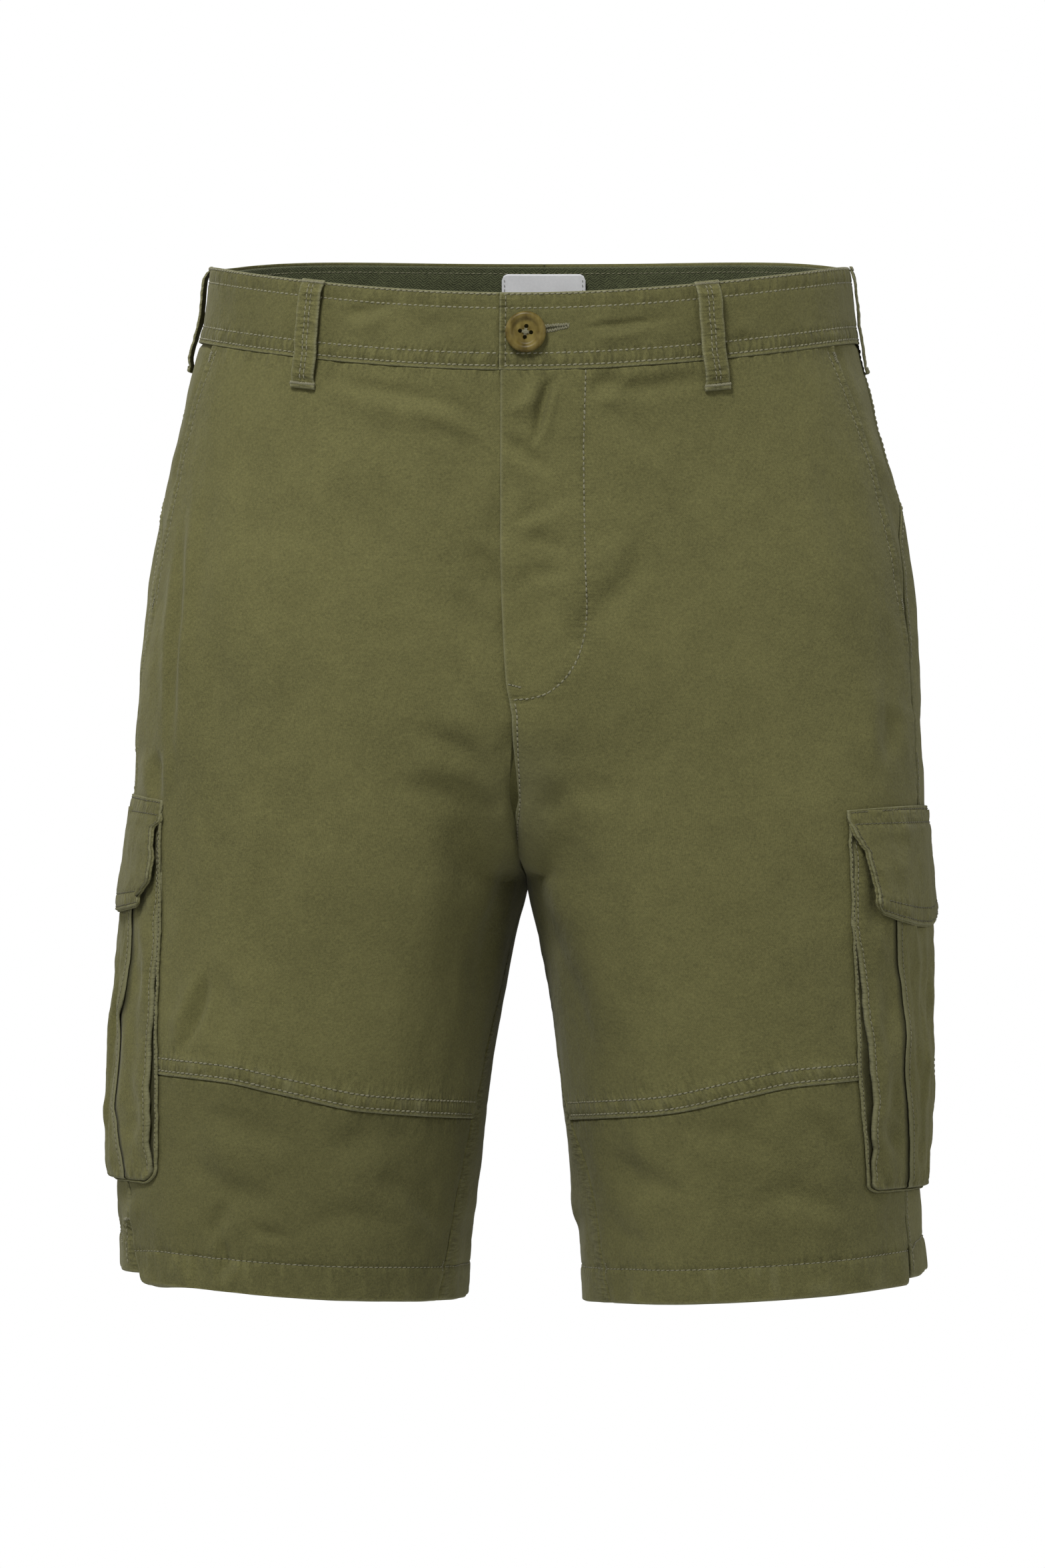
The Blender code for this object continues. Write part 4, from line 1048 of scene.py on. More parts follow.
def front_panel(side):
    left = [0, 0.25, 0.6, 1.1, 1.8, 2.6, 3.4, 4.6, 6.0] if side > 0 else [-20, -17, -14, -11, -8, -5.5, -3, -1, 0, 0.5, 1.1, 2.2, 3.6]
    right = [-3.0, 0, 0.3, 0.8, 1.5, 2.6, 4.2, 5.6, 6.3, 7.0, 8.6, 10.4]
    mid = mid_count(left, right, 236.0, 1.5)
    a = shares(left, right, mid, 236.0)
    near = [0, 0.25, 0.6, 1.0, 1.6, 2.2, 2.8, 3.8, 5.2, 6.6, 7.6, 8.2, 8.8, 9.8, 11.4]
    seam = leg_seam_z(a)
    upper = list(np.arange(-26.0, -300.0, -2.2))
    head = [-13.5, -16.5, -19.0, -19.5, -20.0, -20.6, -21.4, -22.6, -24.2]
    stack = [np.full(a.shape, h) for h in head + upper]
    start = upper[-1]
    n = 42
    while (len(stack) + n + len(near) - 1) % 3:
        n += 1
    for k in range(1, n + 1):
        stack.append(start + (seam + near[-1] - start) * k / (n + 1))
    stack += [seam + d for d in near[::-1]]
    z = np.array(stack)

    def start_u(zz):
        return front_start_u(side, zz)

    def end_u(zz):
        below = under_side(zz)
        return front_end(zz) + 0 * below

    u = spread(side, z, start_u, end_u, left, right, mid)
    # the mouth's folded edge is the last column there: the lap is drawn in
    lap = (u - front_end(z)) * arc(side, u, z)
    keep = under_side(z)
    u = np.where(lap > 0, front_end(z) + (u - front_end(z)) * keep, u)
    if side < 0:
        # the under lap ends with the fly; below it only a narrow allowance
        narrow = 1 - 0.86 * smoothstep((-190 - z) / 12.0)
        u0 = front_start_u(side, z)
        u = np.where(u < u0, u0 + (u - u0) * narrow, u)
        u = np.where((z < CROTCH_Z + 3) & (u < u0), u0 + (u - u0) * 0.4, u)
    name = "front_left" if side > 0 else "front_right"
    aa = arc(side, u, z)
    u0 = front_start_u(side, z)
    db = z - leg_seam_z(np.clip((u - u0) / (front_end(z) - u0), 0, 1))
    x = side * body(side, u, z)[..., 0]
    gx = 0.5 * close_to(-19.0 - z, 5.0) + 0.6 * close_to(db, 4.0, 9.0)
    gz = 0.45 * close_to((front_end(z) - u) * aa, 4.5, 3.0)
    if side > 0:
        gz = gz + 0.28 * close_to(line_distance(x, z, J_LINE), 4.0) + 0.1 * close_to((u - u0) * aa, 4.0, 2.0)
    obj = cloth(name, side, u, z, front_layer, TWILL, gathers={"gather_x": gx, "gather_z": gz})
    keep_centre(obj, side)

    def stitch(us, zs, group, **kw):
        off = front_layer(side, us, zs)[0]
        p, nn = laid(side, us, zs, off)
        group.row(p, nn, **kw)

    t = np.linspace(0.015, 0.99, 260)
    for d in SEAM_ROWS:
        zs = leg_seam_z(t) + d
        u0, u1 = inseam_u(side, zs), side_u(zs)
        us = u0 + (u1 - u0) * t
        seen = us < lip_u[side](zs) + 0.8 / 385.0
        stitch(us[seen], zs[seen], leg_thread)
    # the pocket mouth's row
    zs = np.linspace(-21.0, -150.0, 160)
    us = mouth_u(zs)
    us = us - 6.3 / arc(side, us, zs)
    stitch(us, zs, front_thread, thick=0.6)
    if side > 0:
        line = np.array(J_LINE)
        run = np.concatenate([[0], np.cumsum(np.hypot(*np.diff(line, axis=0).T))])
        s = np.linspace(0.5, run[-1], 260)
        ls = smooth_line(line, s, run)
        us = u_at_x(ls[:, 0], ls[:, 1])
        stitch(us, ls[:, 1], front_thread)
        # below the fly: beside the centre seam down to the crotch
        zs = np.linspace(-197.0, -281.0, 120)
        us = front_start_u(1, zs)
        us = us + 2.6 / arc(1, us, zs)
        stitch(us, zs, front_thread)
        # a short second row at the fly's foot
        q = np.linspace(0, 1, 40)
        zs = -187.0 - 1.8 * q
        us = u_at_x(-1.8 + 6.4 * q, zs)
        stitch(us, zs, front_thread, pitch=1.5, length=1.5, thick=0.8)
    # bartacks at the pocket mouth
    for z0, z1 in ((-22.0, -27.5), (-146.0, -151.5)):
        zs = np.linspace(z0, z1, 10)
        us = mouth_u(zs)
        us = us - 2.4 / arc(side, us, zs)
        p, nn = laid(side, us, zs, front_layer(side, us, zs)[0])
        front_thread.tack(p, nn, 2.6)
    return obj


def smooth_line(line, s, run):
    """Points along a line given by a few points, with its corners rounded."""
    out = np.stack([np.interp(s, run, line[:, i]) for i in range(2)], -1)
    k = 13
    pad = np.concatenate([np.repeat(out[:1], k, 0), out, np.repeat(out[-1:], k, 0)])
    kernel = np.hanning(2 * k + 1)
    kernel /= kernel.sum()
    soft = np.stack([np.convolve(pad[:, i], kernel, "valid") for i in range(2)], -1)
    w = np.minimum(1, np.minimum(np.arange(len(s)), np.arange(len(s))[::-1]) / k)[:, None]
    return out + (soft - out) * w


def keep_centre(obj, side):
    """Below the fly a piece stays on its own side of the centre plane."""
    mesh = obj.data
    co = np.empty(len(mesh.vertices) * 3, np.float32)
    mesh.vertices.foreach_get("co", co)
    co = co.reshape(-1, 3)
    low = co[:, 2] < (CROTCH_Z + 6) * MM
    x = side * co[:, 0]
    co[:, 0] = np.where(low & (x < 0.00025), side * 0.00025, co[:, 0])
    mesh.vertices.foreach_set("co", co.ravel())
    mesh.update()


# ------------------------------------------------------------ lower front panels
def lower_layer(side, u, z):
    a = arc(side, u, z)
    u0, u1 = inseam_u(side, z), side_u(z)
    share = np.clip((u - u0) / (u1 - u0), 0, 1)
    dt = leg_seam_z(share) - z
    dh = z - hem_z(u, side)
    dl, dr = (u - u0) * a, (u1 - vent(side, z, hem_z(u1, side)) - u) * a
    slit = vent_share(side, z)
    x = side * body(side, u, z)[..., 0]
    off = -1.1 * smoothstep((0.9 - dt) / 1.2)
    gather = pucker(x, dt, 13 + side, 2.8)
    off = off + 0.7 * gather * np.exp(-np.clip(dt, 0, None) / 8.0) * smoothstep(dt / 1.2)
    hem_gather = pucker(x, dh, 19 + side, 4.6)
    turned = smoothstep((HEM_ROW + 0.8 - dh) / 1.6)
    off = off + 0.3 * turned + 0.75 * hem_gather * smoothstep((HEM_ROW + 6 - dh) / 8.0) * smoothstep(dh / 3.0 + 0.25)
    off = off - dip(dh - HEM_ROW, 1.1, 0.5) - roll(dh, 1.1)
    off = off - 0.75 * smoothstep((1.2 - dl) / 1.2) - 1.2 * (1 - slit) * smoothstep((0.9 - dr) / 1.4)
    off = off - slit * (roll(dr, 1.0) + dip(dr - 4.5, 1.0, 0.3)) + 0.35 * slit * pucker(z, dr, 23.0) * np.exp(-np.clip(dr, 0, None) / 5.0)
    wear_and_painted_shading = 0.8 * np.exp(-((dh / 1.0) ** 2)) + 0.22 * turned * np.clip(hem_gather, 0, 1) + 0.6 * slit * np.exp(-((dr / 0.9) ** 2))
    # the lower panels are coloured a little darker, the wearer's right one more
    wear_and_painted_shading = np.clip(wear_and_painted_shading, 0, 1) - (0.24 if side < 0 else 0.1) * (1 - smoothstep(wear_and_painted_shading / 0.12))
    deep = np.minimum(off, 0.2) - 1.35
    return off, deep, wear_and_painted_shading


def side_shift(side, z):
    """How far forward of its plain line the side seam lies low on the leg, in u."""
    return (0.016 if side < 0 else 0.0) * smoothstep((-428.0 - np.asarray(z, float)) / 14.0)


def vent_share(side, z):
    """1 in the open part of the side vent, where the front lies over the back."""
    return (1.0 if side < 0 else 0.0) * smoothstep((-452.5 - np.asarray(z, float)) / 3.5)


def vent(side, z, hem):
    """How far the front's edge draws back at the side vent, in u."""
    if side > 0:
        return 0.006 * np.clip(1 - (z - hem) / 46.0, 0, 1) ** 1.3
    t = np.clip(z - hem, 0, 3.6)
    rounded = (3.6 - np.sqrt(np.maximum(3.6**2 - (3.6 - t) ** 2, 0))) / 385.0
    return side_shift(side, z) + 0.016 * np.clip(1 - (z - hem) / 28.0, 0, 1) ** 1.2 + rounded


def back_start(side, z):
    """The back's front edge: it runs on under the front in the vent."""
    extra = (0.034 if side < 0 else 0.0) * smoothstep((-456.0 - np.asarray(z, float)) / 7.0)
    return side_u(z) - side_shift(side, z) - extra


def lower_panel(side):
    left = [-2.6, 0, 0.4, 0.9, 1.6, 2.8, 4.4]
    right = [-3.0, 0, 0.5, 1.2, 2.2, 3.6, 5.4]
    mid = mid_count(left, right, 258.0, 1.5)
    a = shares(left, right, mid, 258.0)
    seam = leg_seam_z(a)
    ends = (inseam_u(side, HEM_Z), side_u(np.array(HEM_Z)))
    hem = hem_z(ends[0] + (ends[1] - ends[0]) * a, side)
    top = [-4.0, -1.6, 0.0, 0.5, 1.0, 1.6, 2.6, 4.0]
    low = [0, 0.3, 0.7, 1.2, 2.0, 3.4, 5.2, 7.4, 9.8, 12.2, 14.4, 15.8, 16.5, 17.0, 17.6, 18.6, 20.4]
    n = 34
    while (len(top) + n + len(low) - 1) % 3:
        n += 1
    stack = [seam - d for d in top]
    for k in range(1, n + 1):
        stack.append(stack[7] + (hem + low[-1] - stack[7]) * k / (n + 1))
    stack += [hem + d for d in low[::-1]]
    z = np.array(stack)
    end = lambda zz: side_u(zz) - vent(side, zz, hem_z(side_u(zz), side))
    u = spread(side, z, lambda zz: inseam_u(side, zz), end, left, right, mid)
    u = np.where(u > end(z), end(z) + (u - end(z)) * (1 - 0.97 * vent_share(side, z)), u)
    name = "front_lower_left" if side > 0 else "front_lower_right"
    aa = arc(side, u, z)
    share = np.clip((u - inseam_u(side, z)) / (side_u(z) - inseam_u(side, z)), 0, 1)
    gx = 0.5 * close_to(leg_seam_z(share) - z, 4.0) + 0.42 * close_to(np.abs(z - hem_z(u, side) - HEM_ROW), 5.0)
    gz = 0.5 * close_to((side_u(z) - u) * aa, 4.0)
    obj = cloth(name, side, u, z, lower_layer, TWILL, gathers={"gather_x": gx, "gather_z": gz})
    t = np.linspace(0.0, 1.0, 240)
    u0, u1 = ends[0], float(end(np.array(-470.0)))
    us = u0 + (u1 - u0) * t
    zs = hem_z(us, side) + HEM_ROW
    p, nn = laid(side, us, zs, lower_layer(side, us, zs)[0])
    leg_thread.row(p, nn, thick=0.6)
    # the double row where the hem meets the inseam
    q = np.linspace(0, 1, 10)
    us = inseam_u(side, -480.0) + 0 * q + 0.004
    zs = hem_z(us) + 15.0 + 5.0 * q
    p, nn = laid(side, us, zs, lower_layer(side, us, zs)[0])
    leg_thread.tack(p, nn, 1.2, 0.7)
    return obj


# ------------------------------------------------------------------ back panels
def back_layer(side, u, z):
    a = arc(side, u, z)
    u0 = back_start(side, z)
    slit = vent_share(side, z)
    seam = side_u(z) - side_shift(side, z)
    u1 = np.where(z > CROTCH_Z, 1.0, 1 + inseam_u(side, z))
    dl, dr = (u - u0) * a, (u1 - u) * a
    dh = z - hem_z(np.maximum(u, 0.45) % 1.0)
    s = u * 520.0
    off = -1.15 * smoothstep((z + 19.3) / 0.7) - 0.8 * smoothstep((z + 18.6) / 1.8)
    off = off + 0.9 * pucker(s, z, 5 + side, 3.0) * np.exp(-np.clip(-19 - z, 0, None) / 9.0)
    off = off - roll(dl, 0.8) + 0.25 * smoothstep((5.0 - dl) / 1.5) * (1 - slit)
    off = off - 1.75 * slit * smoothstep((seam + 0.002 - u) * a / 3.0 + 0.6)
    side_gather = pucker(z, dl, 37 + side, 3.2)
    off = off + 0.55 * side_gather * np.exp(-np.clip(dl, 0, None) / 6.5)
    stitched = (z > -176) | (z < -436) | ((z < -222) & (z > -252))
    off = off - np.where(stitched, dip((u - seam) * a - np.where((z < -436) & (side < 0), 6.0, 2.0), 1.0, 0.25), 0)
    centre = z > CROTCH_Z + 2
    if side > 0:
        off = off - np.where(centre, roll(dr, 0.9), 0.5 * smoothstep((1.2 - dr) / 1.2))
        off = off - np.where(centre, dip(dr - 2.2, 1.0, 0.22) + dip(dr - 7.2, 1.0, 0.22), 0)
    else:
        off = off - np.where(centre, 1.7 * smoothstep((1.4 - dr) / 1.4), 0.5 * smoothstep((1.2 - dr) / 1.2))
    off = off + 0.5 * pucker(z, dr, 41.0, 3.2) * np.exp(-np.clip(dr, 0, None) / 8.0)
    hem_gather = pucker(u * 620.0, dh, 43 + side, 4.6)
    turned = smoothstep((HEM_ROW + 0.8 - dh) / 1.6)
    off = off + 0.3 * turned + 0.75 * hem_gather * smoothstep((HEM_ROW + 6 - dh) / 8.0) * smoothstep(dh / 3.0 + 0.25)
    off = off - dip(dh - HEM_ROW, 1.1, 0.5) - roll(dh, 1.1)
    wear_and_painted_shading = 0.8 * np.exp(-((dh / 1.0) ** 2)) + 0.55 * np.exp(-((dl / 0.8) ** 2))
    wear_and_painted_shading = wear_and_painted_shading + 0.2 * turned * np.clip(hem_gather, 0, 1)
    if side > 0:
        wear_and_painted_shading = wear_and_painted_shading + np.where(centre, 0.5 * np.exp(-((dr / 0.9) ** 2)), 0)
    deep = np.minimum(off, 0.2) - 1.3
    deep = np.where(z > -18.9, np.maximum(deep, -2.35), deep)
    return off, np.minimum(deep, off - 0.3), np.clip(wear_and_painted_shading, 0, 1)


def back_panel(side):
    left = [0, 0.3, 0.7, 1.3, 2.0, 2.8, 4.2, 6.0]
    right = [0, 0.3, 0.7, 1.3, 2.1, 3.4, 5.4, 7.2, 9.0]
    if side < 0:
        right = [-3.0, 0, 0.5, 1.2, 2.2, 3.6]
    mid = mid_count(left, right, 290.0, 2.35)
    a = shares(left, right, mid, 290.0)
    head = [-13.5, -16.5, -19.0, -19.5, -20.0, -20.6, -21.4, -22.6, -24.2]
    upper = list(np.arange(-26.2, -284.0, -2.4))
    ends = (back_start(side, np.array(HEM_Z)), 1 + inseam_u(side, HEM_Z))
    hem = hem_z(np.maximum(ends[0] + (ends[1] - ends[0]) * a, 0.45) % 1.0)
    low = [0, 0.3, 0.7, 1.2, 2.0, 3.4, 5.4, 7.8, 10.4, 13.0, 15.2, 16.4, 17.0, 17.6, 18.8, 20.8]
    stack = [np.full(a.shape, h) for h in head + upper]
    start = upper[-1]
    n = 78
    while (len(stack) + n + len(low) - 1) % 3:
        n += 1
    for k in range(1, n + 1):
        stack.append(start + (hem + low[-1] - start) * k / (n + 1))
    stack += [hem + d for d in low[::-1]]
    z = np.array(stack)
    end = lambda zz: np.where(zz > CROTCH_Z, 1.0, 1 + inseam_u(side, zz))
    u = spread(side, z, lambda zz: back_start(side, zz), end, left, right, mid)
    if side < 0:
        over = z < CROTCH_Z + 3
        u = np.where(over & (u > end(z)), end(z), u)
    name = "back_left" if side > 0 else "back_right"
    aa = arc(side, u, z)
    gx = 0.5 * close_to(-19.0 - z, 5.0) + 0.42 * close_to(np.abs(z - hem_z(u % 1.0) - HEM_ROW), 5.0)
    gz = 0.4 * close_to(np.abs(u - side_u(z) + side_shift(side, z)) * aa, 4.5, 2.0) + 0.5 * close_to((end(z) - u) * aa, 5.0, 7.0)
    obj = cloth(name, side, u, z, back_layer, TWILL, gathers={"gather_x": gx, "gather_z": gz})
    keep_centre(obj, side)

    def stitch(us, zs, **kw):
        p, nn = laid(side, us, zs, back_layer(side, us, zs)[0])
        leg_thread.row(p, nn, **kw)

    for z0, z1 in ((-21.0, -176.0), (-222.0, -252.0), (-436.0, -478.0)):
        zs = np.linspace(z0 if side > 0 or z0 > -430 else -454.0, z1, 150)
        us = side_u(zs) - side_shift(side, zs)
        inset = 6.0 if side < 0 and z0 < -430 else 2.0
        stitch(us + inset / arc(side, us, zs), zs, thick=0.85)
    if side > 0:
        for d in (2.2, 7.2):
            zs = np.linspace(-21.0, -281.0 + d, 240)
            us = 1.0 - d / arc(side, np.full(zs.shape, 0.99), zs)
            stitch(us, zs, thick=0.6)
    if side < 0:
        # the vent's bartack
        q = np.linspace(0, 1, 10)
        us = side_u(-455.0 + 0 * q) - side_shift(side, -455.0) + (0.5 + 5.5 * q) / 385.0
        zs = -455.0 - 1.0 * q
        p, nn = laid(side, us, zs, back_layer(side, us, zs)[0])
        leg_thread.tack(p, nn, 1.8)
    us = np.linspace(float(side_u(np.array(-470.0))) + 0.004, 1 + float(inseam_u(side, -480.0)) - 0.002, 260)
    zs = hem_z(us % 1.0) + HEM_ROW
    stitch(us, zs, thick=0.6)
    return obj


# ------------------------------------------------------------------ hip facings
def facing_layer(side, u, z):
    a = arc(side, u, z)
    dm, ds = (u - mouth_u(z)) * a, (side_u(z) - u) * a
    off = -1.75 + 1.15 * smoothstep((dm - 1.0) / 9.0) - 1.0 * smoothstep((1.6 - ds) / 1.6)
    off = off - 1.2 * smoothstep((z + 20.6) / 1.6)
    tight = smoothstep((MOUTH_END + 30 - z) / 26.0)
    off = np.minimum(off, -1.5 * tight + 2.0 * (1 - tight))
    return off, off - 1.1, 0.0 * off


def hip_facing(side):
    z1 = to_step(np.linspace(-13.5, -166.0, 76))[::-1]
    cols = 25
    z = np.repeat(z1[:, None], cols, axis=1)
    t = np.linspace(0, 1, cols)[None, :]
    a = 372.0
    u0, u1 = mouth_u(z) - 9.0 / a, side_u(z) + 3.0 / a
    u = u0 + (u1 - u0) * t
    name = "hip_facing_left" if side > 0 else "hip_facing_right"

    def layer(sd, uu, zz):
        off, deep, wear_and_painted_shading = facing_layer(sd, uu, zz)
        dm = (uu - mouth_u(zz)) * arc(sd, uu, zz)
        under = smoothstep(-dm / 2.0)
        return off - 0.35 * under, off - 0.35 * under - 1.0, wear_and_painted_shading

    obj = cloth(name, side, u, z, layer, TWILL)
    return obj


# --------------------------------------------------------------------- waistband
def band_start(side, z):
    return u_at_x(np.full(np.shape(z), -BAND_LAP if side > 0 else -LAP_UNDER), z)


def band_layer(side, u, z):
    dt, db = 19.0 - z, z + 19.0
    s = u * 470.0
    off = 0.62 - roll(dt, 0.9) - roll(db, 0.55)
    upper = pucker(s, z, 51 + side, 2.0) * smoothstep((dt - 0.5) / 1.5) * smoothstep((z - 6.5) / 4.0)
    lower = pucker(s, z, 57 + side, 2.0) * smoothstep((-6.5 - z) / 4.0) * smoothstep((db + 0.5) / 1.5)
    off = off + 0.42 * upper + 0.5 * lower
    for row in BAND_ROWS:
        off = off - dip(z - row, 0.85, 0.5)
    wear_and_painted_shading = 0.95 * np.exp(-((dt / 0.75) ** 2)) + 0.55 * np.exp(-((db / 0.7) ** 2))
    wear_and_painted_shading = wear_and_painted_shading + 0.1 * np.clip(upper + lower, 0, 1)
    a = arc(side, u, z)
    if side > 0:
        dl = (u - band_start(1, z)) * a
        off = off - roll(dl, 0.6) - dip(dl - 3.0, 0.9, 0.4)
        off = off + 0.25 * pucker(z, dl, 61.0) * np.exp(-np.clip(dl, 0, None) / 4.5)
        wear_and_painted_shading = wear_and_painted_shading + 0.6 * np.exp(-((dl / 0.8) ** 2))
        # the buttonhole pulls at the button
        x = body(1, u, z)[..., 0]
        hole = np.hypot((x - 15.0) / 10.0, (z - 0.5) / 5.0)
        off = off - 0.35 * np.exp(-hole**2)
    else:
        x = np.where(u < 0.3, body(1, u, z)[..., 0], 999.0)
        off = off - 1.5 * (1 - smoothstep((x - BAND_LAP + 0.6) / 1.8))
    dc = (1.0 - u) * a
    off = off - 0.8 * smoothstep((0.9 - dc) / 0.9)
    deep = np.minimum(off, 0.6) - 1.45
    deep = np.maximum(deep, -1.0 - 1.5 * (side < 0))
    wear_and_painted_shading = np.clip(wear_and_painted_shading, 0, 1) - 0.17 * (1 - smoothstep(wear_and_painted_shading / 0.15))
    return off, np.minimum(deep, off - 0.35), wear_and_painted_shading


def band(side):
    rows = to_step([19, 18.85, 18.55, 18.0, 17.3] + list(np.arange(16.2, -15.6, -1.15)) + [-16.1, -16.8, -17.5, -18.2, -18.6, -18.85, -19])[::-1]
    left = [0, 0.25, 0.6, 1.2, 2.2, 3.0, 3.8, 5.0]
    right = [0, 0.4, 0.9, 1.6]
    mid = mid_count(left, right, 452.0 if side > 0 else 470.0, 1.05)
    total = len(left) + mid + len(right)
    z = np.repeat(rows[:, None], total, axis=1)
    u = spread(side, z, lambda zz: band_start(side, zz), lambda zz: np.ones(zz.shape), left, right, mid)
    name = "waistband_left" if side > 0 else "waistband_right"
    gx = 0.55 * close_to(np.abs(z + 13.8), 2.2, 3.2) + 0.32 * close_to(np.abs(z - 15.2), 2.2, 3.2)
    gz = 0.6 * close_to((u - band_start(side, z)) * arc(side, u, z), 3.0, 2.0) if side > 0 else 0 * u
    obj = cloth(name, side, u, z, band_layer, TWILL, gathers={"gather_x": 1.15 * gx, "gather_z": gz})
    for row in BAND_ROWS:
        t = np.linspace(0, 1, 700)
        u0 = float(band_start(side, np.array(row)))
        if side < 0:
            u0 = float(u_at_x(np.array(BAND_LAP - 1.0), np.array(row)))
        us = u0 + 0.004 + (1 - u0 - 0.006) * t
        zs = np.full(us.shape, row)
        p, n = laid(side, us, zs, band_layer(side, us, zs)[0])
        band_thread.row(p, n)
    if side > 0:
        zs = np.linspace(17.6, -17.6, 60)
        us = band_start(1, zs) + 3.0 / 508.0
        p, n = laid(1, us, zs, band_layer(1, us, zs)[0])
        band_thread.row(p, n, thick=0.6)
    return obj


def band_facing(side):
    """The herringbone facing inside the waistband, its face to the inside."""
    rows = to_step([17.6, 17.3, 16.8, 16.0] + list(np.arange(14.6, -16.0, -1.7)) + [-16.8, -17.8, -18.4])[::-1]
    left = [0, 0.6, 1.6]
    right = [0, 0.6, 1.6]
    mid = mid_count(left, right, 424.0, 2.0)
    total = len(left) + mid + len(right)
    z = np.repeat(rows[:, None], total, axis=1)
    start = lambda zz: u_at_x(np.full(zz.shape, LAP_UNDER + 4.0), zz)
    u = spread(side, z, start, lambda zz: np.ones(zz.shape), left, right, mid)
    p, n = body(side, u, z), normal(side, u, z)
    d = slack(p, n)
    dt, db = 17.6 - z, z + 18.4
    s = u * 450.0
    off = -2.45 + roll(dt, 0.5) + roll(db, 0.5) + 0.22 * pucker(s, z, 71 + side, 4.0) * np.exp(-dt / 6.0)
    off = off + dip(z - 14.2, 0.9, 0.2)
    # behind the right front the band steps in, and the facing with it
    top = p + n * (off + d)[..., None]
    under = p + n * (np.full(u.shape, -1.5) + d)[..., None]
    name = "waistband_facing_left" if side > 0 else "waistband_facing_right"
    wear_and_painted_shading = 0.5 * np.exp(-((dt / 0.7) ** 2))
    obj = shell(name, top, under, FACING, cloth_uv(top, z), wear_and_painted_shading)
    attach(obj, "root")
    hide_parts(name)
    us = np.linspace(0.09, 0.998, 640)
    zs = np.full(us.shape, 14.2)
    pp, nn = body(side, us, zs), normal(side, us, zs)
    q = pp + nn * (slack(pp, nn) - 2.4)[..., None]
    inner_thread.row(q, -nn, thick=0.4)
    return obj


inner_thread = Thread()


def label():
    """A bare woven label with rounded top corners, sewn at its ends."""
    cols, rows = 46, 31
    a = np.linspace(0, 1, cols)[None, :] + np.zeros((rows, 1))
    b = np.linspace(0, 1, rows)[:, None] + np.zeros((1, cols))
    x = (a - 0.5) * LABEL_W
    # rounded corners: the top row sinks at its ends
    r = 3.2
    edge = np.clip(np.abs(x) - (LABEL_W / 2 - r), 0, r)
    drop = r - np.sqrt(np.maximum(r * r - edge * edge, 0))
    z = 13.5 - LABEL_H * b - drop * (1 - b)
    y = column(SECTION, "back", z) - 4.35 - 0.5 * (x / 20.0) ** 2 * 2.0
    wave = 0.35 * noise2(x / 14.0, z / 12.0, 81.0)
    ends = 0.4 * np.exp(-(((np.abs(x) - LABEL_W / 2 + 1.4) / 1.0) ** 2))
    y = y + wave + ends
    top = np.stack([x, y, z + BACK_RISE], axis=-1)
    under = top + np.array([0, 0.55, 0])
    obj = shell("label_blank", top, under, LABEL, np.stack([x, z], -1), 0 * x)
    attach(obj, "root")
    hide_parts("label_blank")
    for sx in (-1, 1):
        zs = np.linspace(11.0, -13.0, 30)
        xs = np.full(zs.shape, sx * (LABEL_W / 2 - 1.4))
        ys = column(SECTION, "back", zs) - 4.35 - (xs / 20.0) ** 2 + 0.35 * noise2(xs / 14.0, zs / 12.0, 81.0) + 0.3
        p = np.stack([xs, ys, zs + BACK_RISE], -1)
        n = np.tile([0.0, -1.0, 0.0], (len(zs), 1))
        dark.row(p, n, pitch=2.4, length=1.5, thick=0.34)
    return obj


dark = Thread()


# -------------------------------------------------------------------- belt loops
LOOPS = (("belt_loop_front_left", 1, 0.190, 0.0016), ("belt_loop_front_right", -1, 0.204, 0.0003),
         ("belt_loop_side_left", 1, 0.508, 0.0), ("belt_loop_side_right", -1, 0.508, 0.0),
         ("belt_loop_back", 1, 1.0, 0.0))


